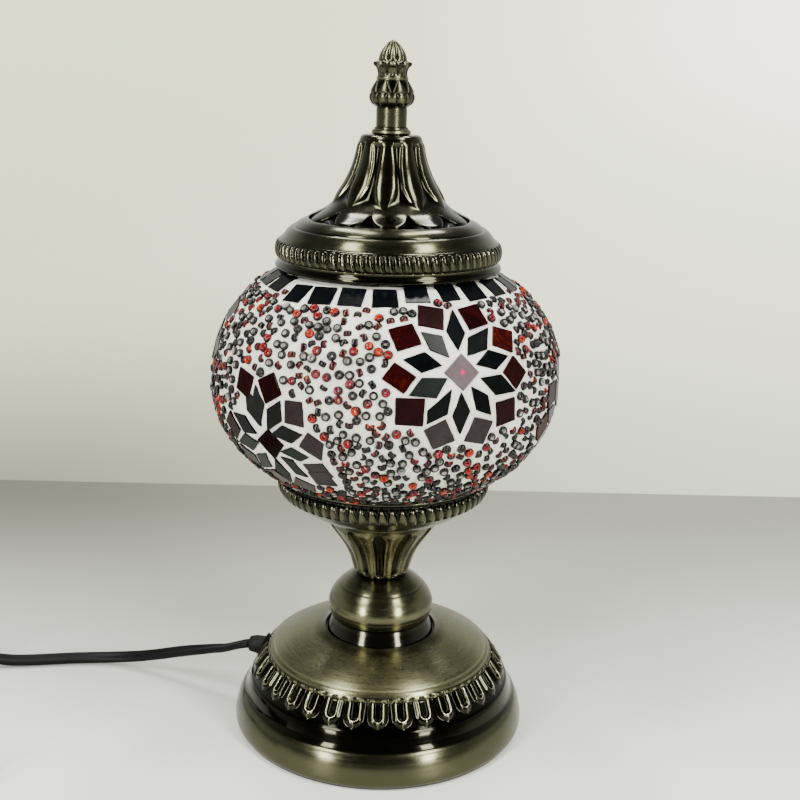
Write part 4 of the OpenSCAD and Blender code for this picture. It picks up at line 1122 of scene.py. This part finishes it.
def tile_glass(name, kind):
    g = G(name)
    o = g.obj()
    rnd = g.attr("rnd")
    cloud = g.noise(o, 170, 4, 0.6, 1.2)
    fine_ = g.noise(o, 900, 3, 0.6)
    rough = g.math("ADD", 0.10, g.math("MULTIPLY", fine_, 0.10))
    if kind == "black":
        c = g.ramp(cloud, [(0.3, (0.0007, 0.0009, 0.0014)), (0.62, (0.0014, 0.0018, 0.0026)), (0.85, (0.0035, 0.0042, 0.0050))])
        g.set(color=c, rough=rough, spec=0.045)
    elif kind == "petal":
        a = g.ramp(cloud, [(0.3, (0.0006, 0.0009, 0.0011)), (0.75, (0.0016, 0.0023, 0.0025))])
        b = g.ramp(cloud, [(0.3, (0.0055, 0.0068, 0.0060)), (0.75, (0.011, 0.013, 0.0115))])
        g.set(color=g.mix(g.math("MULTIPLY", g.math("SUBTRACT", rnd, 0.5), 2.0, clamp=True), a, b), rough=rough, spec=0.045)
    elif kind == "red":
        dark = g.ramp(cloud, [(0.3, (0.0030, 0.0004, 0.0006)), (0.6, (0.0075, 0.0006, 0.0009)), (0.85, (0.017, 0.0010, 0.0013))])
        hot = g.ramp(g.noise(o, 240, 4, 0.65, 2.0), [(0.35, (0.008, 0.0008, 0.0009)), (0.54, (0.018, 0.0014, 0.0012)), (0.70, (0.075, 0.007, 0.002)), (0.82, (0.03, 0.002, 0.001))])
        grey = g.ramp(cloud, [(0.3, (0.0125, 0.0098, 0.0104)), (0.75, (0.022, 0.0180, 0.0185))])
        c = g.mix(g.math("MULTIPLY", g.math("SUBTRACT", rnd, 0.1), 1.1, clamp=True), dark, hot)
        c = g.mix(g.math("MULTIPLY", rnd, -1.0, clamp=True), c, grey)
        g.set(color=c, rough=rough, spec=0.045)
    else:
        s = g.n("ShaderNodeSeparateXYZ")
        at = g.n("ShaderNodeAttribute", attribute_name="loc")
        g.l(at.outputs["Vector"], s.inputs[0])
        x, y = s.outputs[0], s.outputs[1]
        r2 = g.math("ADD", g.math("MULTIPLY", x, x), g.math("MULTIPLY", y, y))
        core = g.math("EXPONENT", g.math("MULTIPLY", r2, -2.6))
        streak = g.math("EXPONENT", g.math("MULTIPLY", g.math("ADD", g.math("MULTIPLY", g.math("MULTIPLY", x, x), 3.5), g.math("MULTIPLY", g.math("MULTIPLY", y, y), 0.35)), -1.0))
        streak2 = g.math("EXPONENT", g.math("MULTIPLY", g.math("ADD", g.math("MULTIPLY", g.math("MULTIPLY", y, y), 5.0), g.math("MULTIPLY", g.math("MULTIPLY", x, x), 0.6)), -1.0))
        glow = g.math("ADD", core, g.math("MULTIPLY", g.math("ADD", streak, streak2), g.math("MULTIPLY", g.noise(o, 800, 3, 0.7), 0.42)), clamp=True)
        body = g.ramp(cloud, [(0.3, (0.060, 0.046, 0.050)), (0.75, (0.085, 0.067, 0.072))])
        body = g.mix(g.math("MULTIPLY", rnd, -1.0, clamp=True), body, (0.0035, 0.0008, 0.0012))
        c = g.mix(g.math("MULTIPLY", glow, g.math("ADD", 0.05, rnd, clamp=True)), body, (0.42, 0.012, 0.085))
        g.set(color=c, rough=rough, spec=0.045)
    g.bump(g.noise(o, 260, 2, 0.5), 0.05, 0.0004)
    return g.m


tile_piece("tiles_rim", TILES["rim"], tile_glass("black_glass", "black"), ["rim_tiles"])
tile_piece("tiles_petal", TILES["petal"], tile_glass("petal_glass", "petal"), ["flower_petal_tiles"])
tile_piece("tiles_square", TILES["square"], tile_glass("red_glass", "red"), ["flower_square_tiles"])
tile_piece("tiles_centre", TILES["centre"], tile_glass("mauve_glass", "mauve"), ["flower_centre_tiles"])


def smooth_noise(h, w, sh, sw, seed):
    """Smooth random field, periodic, about 1 in spread, with features sh by sw samples."""
    g = np.random.default_rng(seed).normal(size=(h, w))
    fy, fx = np.fft.fftfreq(h)[:, None], np.fft.fftfreq(w)[None, :]
    k = np.exp(-2 * PI ** 2 * ((fy * sh) ** 2 + (fx * sw) ** 2))
    r = np.real(np.fft.ifft2(np.fft.fft2(g) * k))
    return r / r.std()


def plaster():
    """The plaster skin between the tiles and round the beads, with its hand-wiped unevenness."""
    nu, E0, E1, ne = 760, -44.0, 46.0, 184
    e = np.radians(np.linspace(E0, E1, ne))
    phi = np.arange(nu) * 2 * PI / nu
    rough_ = 0.085 * smooth_noise(ne, nu, 9, 9, 1) + 0.055 * smooth_noise(ne, nu, 3.2, 3.2, 2) + 0.022 * smooth_noise(ne, nu, 1.1, 1.1, 3)
    az = phi - PI / 2
    EE, AZ = np.meshgrid(e, az, indexing="ij")
    d = 1.28 - np.clip(rough_, -0.22, 0.26)
    # under the tiles it stays low, so that it only laps over their edges
    P = gpt(AZ, EE, 1.28)
    for c, dn, ea, nn, poly, rad in polys3:
        rr, cc = np.where(((P - c) ** 2).sum(-1) < rad * rad)
        q = P[rr, cc] - c
        x, y = q @ dn, q @ ea
        inside = np.zeros(len(x), bool)
        dist = np.full(len(x), 99.0)
        for i in range(len(poly)):
            a, b = poly[i], poly[(i + 1) % len(poly)]
            cond = (a[1] > y) != (b[1] > y)
            with np.errstate(divide="ignore", invalid="ignore"):
                xi = (b[0] - a[0]) * (y - a[1]) / (b[1] - a[1]) + a[0]
            inside ^= cond & (x < xi)
            ab = b - a
            t = np.clip(((x - a[0]) * ab[0] + (y - a[1]) * ab[1]) / max(ab @ ab, 1e-9), 0, 1)
            dist = np.minimum(dist, np.hypot(x - a[0] - t * ab[0], y - a[1] - t * ab[1]))
        sdist = np.where(inside, dist, -dist)
        d[rr, cc] = np.maximum(d[rr, cc], d[rr, cc] + 0.75 * sstep(sdist, 0.10, 0.75))
    # it thins towards the cap's rim and towards the cup
    end = np.clip((EE - math.radians(43.6)) / math.radians(1.6), 0, 1) + np.clip((math.radians(-41.6) - EE) / math.radians(1.6), 0, 1)
    d = d + 0.5 * end
    Vo = gpt(AZ, EE, d)
    ei = np.radians(np.linspace(E1, E0, 46))
    EI, AI = np.meshgrid(ei, az, indexing="ij")
    Vi = gpt(AI, EI, 3.2)
    V = np.concatenate([Vo, Vi]).reshape(-1, 3)
    n = ne + 46
    i, j = np.arange(n)[:, None], np.arange(nu)[None, :]
    jn, ii = (j + 1) % nu, (np.arange(n)[:, None] + 1) % n
    q = np.stack([i * nu + j, i * nu + jn, ii * nu + jn, ii * nu + j], 2).reshape(-1, 4)
    g = G("white_plaster")
    o = g.obj()
    c1, c2, c3 = g.noise(o, 60, 4, 0.6), g.noise(o, 520, 4, 0.65), g.noise(o, 2200, 2, 0.6)
    col = g.ramp(c1, [(0.30, (0.45, 0.435, 0.385)), (0.5, (0.54, 0.54, 0.48)), (0.7, (0.60, 0.605, 0.54))])
    col = g.mix(g.math("MULTIPLY", g.math("SUBTRACT", c2, 0.55), 2.2, clamp=True), col, (0.40, 0.385, 0.35))
    g.set(color=col, rough=g.math("ADD", 0.62, g.math("MULTIPLY", c2, 0.2)), spec=0.3)
    g.bump(g.math("ADD", g.math("MULTIPLY", c2, 0.7), g.math("MULTIPLY", c3, 0.3)), 0.35, 0.00025)
    return make("plaster", V, q, g.m, replaces=["globe_grout"])


plaster()


# ---- seed beads ----
def bead_field():
    """Positions on the globe, kept apart from each other and off the tiles."""
    br = np.random.default_rng(23)
    lo, hi = math.sin(math.radians(-42.3)), math.sin(math.radians(37.6))
    N = 90000
    e = np.arcsin(br.uniform(lo, hi, N))
    az = br.uniform(-PI, PI, N)
    P = gpt(az, e, 0.9)
    ok = np.ones(N, bool)
    # the band right under the rim tiles holds a few beads only where no rim tile or square is near
    for c, dn, ea, nn, poly, rad in polys3:
        near = np.where(np.linalg.norm(P - c, axis=1) < rad + 2.5)[0]
        if not len(near):
            continue
        x, y = (P[near] - c) @ dn, (P[near] - c) @ ea
        inside = np.zeros(len(near), bool)
        dist = np.full(len(near), 99.0)
        for i in range(len(poly)):
            a, b = poly[i], poly[(i + 1) % len(poly)]
            cond = (a[1] > y) != (b[1] > y)
            with np.errstate(divide="ignore", invalid="ignore"):
                xi = (b[0] - a[0]) * (y - a[1]) / (b[1] - a[1]) + a[0]
            inside ^= cond & (x < xi)
            ab = b - a
            t = np.clip(((x - a[0]) * ab[0] + (y - a[1]) * ab[1]) / max(ab @ ab, 1e-9), 0, 1)
            dist = np.minimum(dist, np.hypot(x - a[0] - t * ab[0], y - a[1] - t * ab[1]))
        ok[near[inside | (dist < 1.95)]] = False
    # none inside the flowers
    for k in range(3):
        for a0, e0 in ((-66.3 + 120 * k, 13.4), (-128 + 120 * k, -12.0)):
            a0, e0 = math.radians(a0), math.radians(e0)
            n0 = np.array([math.cos(e0) * math.cos(a0), math.cos(e0) * math.sin(a0), math.sin(e0)])
            dd = np.stack([np.cos(e) * np.cos(az), np.cos(e) * np.sin(az), np.sin(e)], 1) @ n0
            ok[np.arccos(np.clip(dd, -1, 1)) * 62.0 < 20.5] = False
    idx = np.where(ok)[0]
    cellsz = 3.4
    grid, keep = {}, []
    for i in idx:
        p = P[i]
        key = tuple(int(math.floor(v / cellsz)) for v in p)
        good = True
        for dx in (-1, 0, 1):
            for dy in (-1, 0, 1):
                for dz in (-1, 0, 1):
                    for j in grid.get((key[0] + dx, key[1] + dy, key[2] + dz), ()):
                        q = P[j]
                        if (p[0] - q[0]) ** 2 + (p[1] - q[1]) ** 2 + (p[2] - q[2]) ** 2 < 2.96 ** 2:
                            good = False
                            break
                    if not good:
                        break
                if not good:
                    break
            if not good:
                break
        if good:
            grid.setdefault(key, []).append(i)
            keep.append(i)
    return az[keep], e[keep], br


def bead_mesh(R, a, h, nm=18, ns=10):
    """A rocaille: rounded ring of middle radius R, wall half a thick, 2 h high. Returns points, quads, rim value."""
    th = np.arange(ns) * 2 * PI / ns + PI / ns
    c, s = np.cos(th), np.sin(th)
    pr = R + a * np.sign(c) * np.abs(c) ** 0.75
    pz = h * np.sign(s) * np.abs(s) ** 0.62
    ph = np.arange(nm) * 2 * PI / nm
    V = np.stack([pr[None, :] * np.cos(ph)[:, None], pr[None, :] * np.sin(ph)[:, None], np.repeat(pz[None, :], nm, 0)], 2).reshape(-1, 3)
    i, j = np.arange(nm)[:, None], np.arange(ns)[None, :]
    q = np.stack([i * ns + j, ((i + 1) % nm) * ns + j, ((i + 1) % nm) * ns + (j + 1) % ns, i * ns + (j + 1) % ns], 2).reshape(-1, 4)
    rim = np.repeat((0.5 + 0.5 * c)[None, :], nm, 0).ravel()
    ang = np.repeat(ph[:, None] / (2 * PI), ns, 1).ravel()
    return V, q, rim, ang


def bead_glass(name, stops, rough=0.06, trans=0.0, streak=None):
    """stops colour the bead from the wall of its hole (0) over its crown (0.5) to its outside (1); the light hole wall
    is painted light and the dark outside wall painted shade.
    """
    g = G(name)
    o = g.obj()
    rim, rnd = g.attr("rim"), g.attr("rnd")
    n = g.noise(o, 900, 3, 0.6, 0.6)
    f = g.math("ADD", rim, g.math("MULTIPLY", g.math("SUBTRACT", n, 0.5), 0.22), clamp=True)
    c = g.ramp(f, stops)
    # painted glints: lighter streaks laid over the colour
    if streak:
        k = g.noise(o, 620, 2, 0.5)
        c = g.mix(g.math("MULTIPLY", g.math("SUBTRACT", k, streak[1]), 7.0, clamp=True), c, streak[0])
    c = g.mix(g.math("MULTIPLY", rnd, 0.45), c, tuple(x * 0.35 for x in stops[-1][1]))
    g.set(color=c, rough=rough, spec=0.20, trans=trans)
    g.b.inputs["IOR"].default_value = 1.52
    return g.m


def beads():
    az, e, br = bead_field()
    n = len(az)
    print("beads", n)
    kinds = ["ring", "smoke", "red", "orange", "pink", "clear"]
    # painted light on each bead's hole wall, standing in for lit plaster and inner reflection, and painted shade as a
    # dark outline on its outside wall
    mats = {
        "ring": bead_glass("bead_ring_painted_outline", [(0.0, (0.46, 0.45, 0.41)), (0.13, (0.26, 0.25, 0.225)), (0.24, (0.014, 0.012, 0.010)), (0.5, (0.0022, 0.0018, 0.0014)), (1.0, (0.0010, 0.0009, 0.0007))]),
        "smoke": bead_glass("bead_smoky", [(0.0, (0.010, 0.008, 0.007)), (0.25, (0.008, 0.0058, 0.0052)), (0.5, (0.0026, 0.0019, 0.0017)), (1.0, (0.0009, 0.0007, 0.0007))], streak=((0.060, 0.043, 0.040), 0.62)),
        "red": bead_glass("bead_red", [(0.0, (0.23, 0.004, 0.006)), (0.32, (0.17, 0.0015, 0.003)), (0.62, (0.055, 0.0006, 0.0014)), (1.0, (0.006, 0.0002, 0.0004))], streak=((0.42, 0.06, 0.055), 0.66)),
        "orange": bead_glass("bead_orange", [(0.0, (0.36, 0.030, 0.003)), (0.36, (0.30, 0.011, 0.0012)), (0.66, (0.11, 0.0018, 0.0006)), (1.0, (0.010, 0.0003, 0.0003))], streak=((0.55, 0.15, 0.03), 0.62)),
        "pink": bead_glass("bead_crimson", [(0.0, (0.20, 0.009, 0.022)), (0.36, (0.12, 0.002, 0.009)), (0.68, (0.035, 0.0008, 0.004)), (1.0, (0.006, 0.0004, 0.0012))], streak=((0.36, 0.10, 0.13), 0.66)),
        "clear": bead_glass("bead_clear", [(0.0, (0.34, 0.35, 0.32)), (0.45, (0.20, 0.205, 0.185)), (0.72, (0.03, 0.031, 0.028)), (1.0, (0.006, 0.006, 0.0055))]),
    }
    share = np.array([0.315, 0.290, 0.135, 0.135, 0.095, 0.030])
    pick = br.choice(6, size=n, p=share)
    store = {k: ([], [], [], []) for k in kinds}
    count = {k: 0 for k in kinds}
    dn, ea, nn = gframe(az, e)
    for i in range(n):
        kind = kinds[pick[i]]
        s = br.uniform(0.92, 1.04)
        flat = br.random() < (0.90 if kind in ("ring", "clear") else 0.42)
        if kind in ("ring", "clear"):
            R, a, h = 1.10 * s, 0.47 * s, 0.84 * s
        else:
            R, a, h = 1.03 * s, 0.60 * s, 1.04 * s
        V, q, rim, ang = bead_mesh(R, a, h)
        if flat:
            tilt_ = abs(br.normal(0, math.radians(10 if kind in ("ring", "clear") else 17)))
            depth = h + br.uniform(0.02, 0.30)
        else:
            tilt_ = math.radians(90) + br.normal(0, math.radians(14))
            depth = R + a + br.uniform(0.0, 0.25)
        depth = max(depth, 0.72)
        psi = br.uniform(0, 2 * PI)
        # bead axis leaning by tilt_ towards psi
        ax = np.array([math.sin(tilt_) * math.cos(psi), math.sin(tilt_) * math.sin(psi), math.cos(tilt_)])
        w = np.array([-math.sin(psi), math.cos(psi), 0.0])
        u = np.cross(w, ax)
        L = V[:, :1] * u + V[:, 1:2] * w + V[:, 2:] * ax
        c = gpt(az[i:i + 1], e[i:i + 1], depth)[0]
        W = c + L[:, :1] * dn[i] + L[:, 1:2] * ea[i] + L[:, 2:] * nn[i]
        # nothing stands further out than the bead tops of the CAD layer allow
        st = store[kind]
        st[0].append(W)
        st[1].append(q + count[kind])
        st[2].append(rim)
        st[3].append(np.full(len(rim), br.random()))
        count[kind] += len(W)
    for k in kinds:
        st = store[k]
        make("beads_" + k, np.concatenate(st[0]), np.concatenate(st[1]), mats[k], replaces=["seed_beads"],
             attrs={"rim": np.concatenate(st[2]), "rnd": np.concatenate(st[3])})


beads()

# ---- the globe's own blown glass ----
g_ = G("frosted_globe_glass")
go = g_.obj()
gn_ = g_.noise(go, 340, 4, 0.6)
g_.set(color=g_.ramp(g_.noise(go, 40, 3, 0.5), [(0.3, (0.80, 0.83, 0.81)), (0.7, (0.88, 0.90, 0.88))]),
       rough=g_.math("ADD", 0.34, g_.math("MULTIPLY", gn_, 0.16)), trans=0.55, spec=0.5)
g_.b.inputs["IOR"].default_value = 1.5
g_.bump(gn_, 0.12, 0.0002)
M["globe_glass"] = g_.m
# ---------------------------------------------------------------------------
# Finishes of the CAD nodes that stay, and the moulded parts
# ---------------------------------------------------------------------------
g_ = G("bulb_clear_glass")
g_.set(color=g_.ramp(g_.noise(g_.obj(), 60, 2, 0.5), [(0.3, (0.96, 0.97, 0.965)), (0.7, (0.985, 0.99, 0.985))]),
       rough=g_.math("MULTIPLY", g_.noise(g_.obj(), 200, 2, 0.5), 0.04), trans=1.0)
g_.b.inputs["IOR"].default_value = 1.46
M["bulb_glass"] = g_.m
M["mount"] = simple("bulb_mount_glass", (0.72, 0.73, 0.71), 0.0, 0.12, 0.06, 300, 0.05)
M["insulator"] = simple("bulb_insulator_glass", (0.012, 0.010, 0.016), 0.0, 0.15, 0.2, 300, 0.05)
M["spring"] = simple("spring_steel", (0.36, 0.38, 0.42), 1.0, 0.24, 0.15, 320, 0.06)
M["painted"] = simple("painted_steel", (0.055, 0.055, 0.057), 0.0, 0.42, 0.2, 900, 0.25)
FINISH = {
    "zinc": ["cap_stud", "cap_washer", "cap_nuts", "cap_spider", "cap_rivets", "pipe_washers", "socket_screws", "switch_screws"],
    "spring": ["cap_springs"], "rubber": ["gallery_gasket", "cord_strain_relief"], "iron": ["base_weight"], "painted": ["base_cover"],
    "felt": ["base_felt"], "plain_brass": ["lamp_pipe", "pipe_nuts", "socket_cup", "socket_shell", "socket_contact", "switch_contacts", "plug_blades"],
    "plastic": ["socket_body", "cord_tie", "switch_base", "switch_cover", "switch_rocker", "plug_body"], "bulb_glass": ["bulb_glass"],
    "mount": ["bulb_mount"], "bulb_metal": ["bulb_screw_cap", "bulb_contact"], "insulator": ["bulb_insulator"], "cord": ["inner_lead"],
    "globe_glass": ["globe_glass"],
}
for key, names in FINISH.items():
    for nm in names:
        ob = NODES[nm]
        if not ob.material_slots:
            ob.data.materials.append(M[key])
        for sl in ob.material_slots:
            sl.material = M[key]
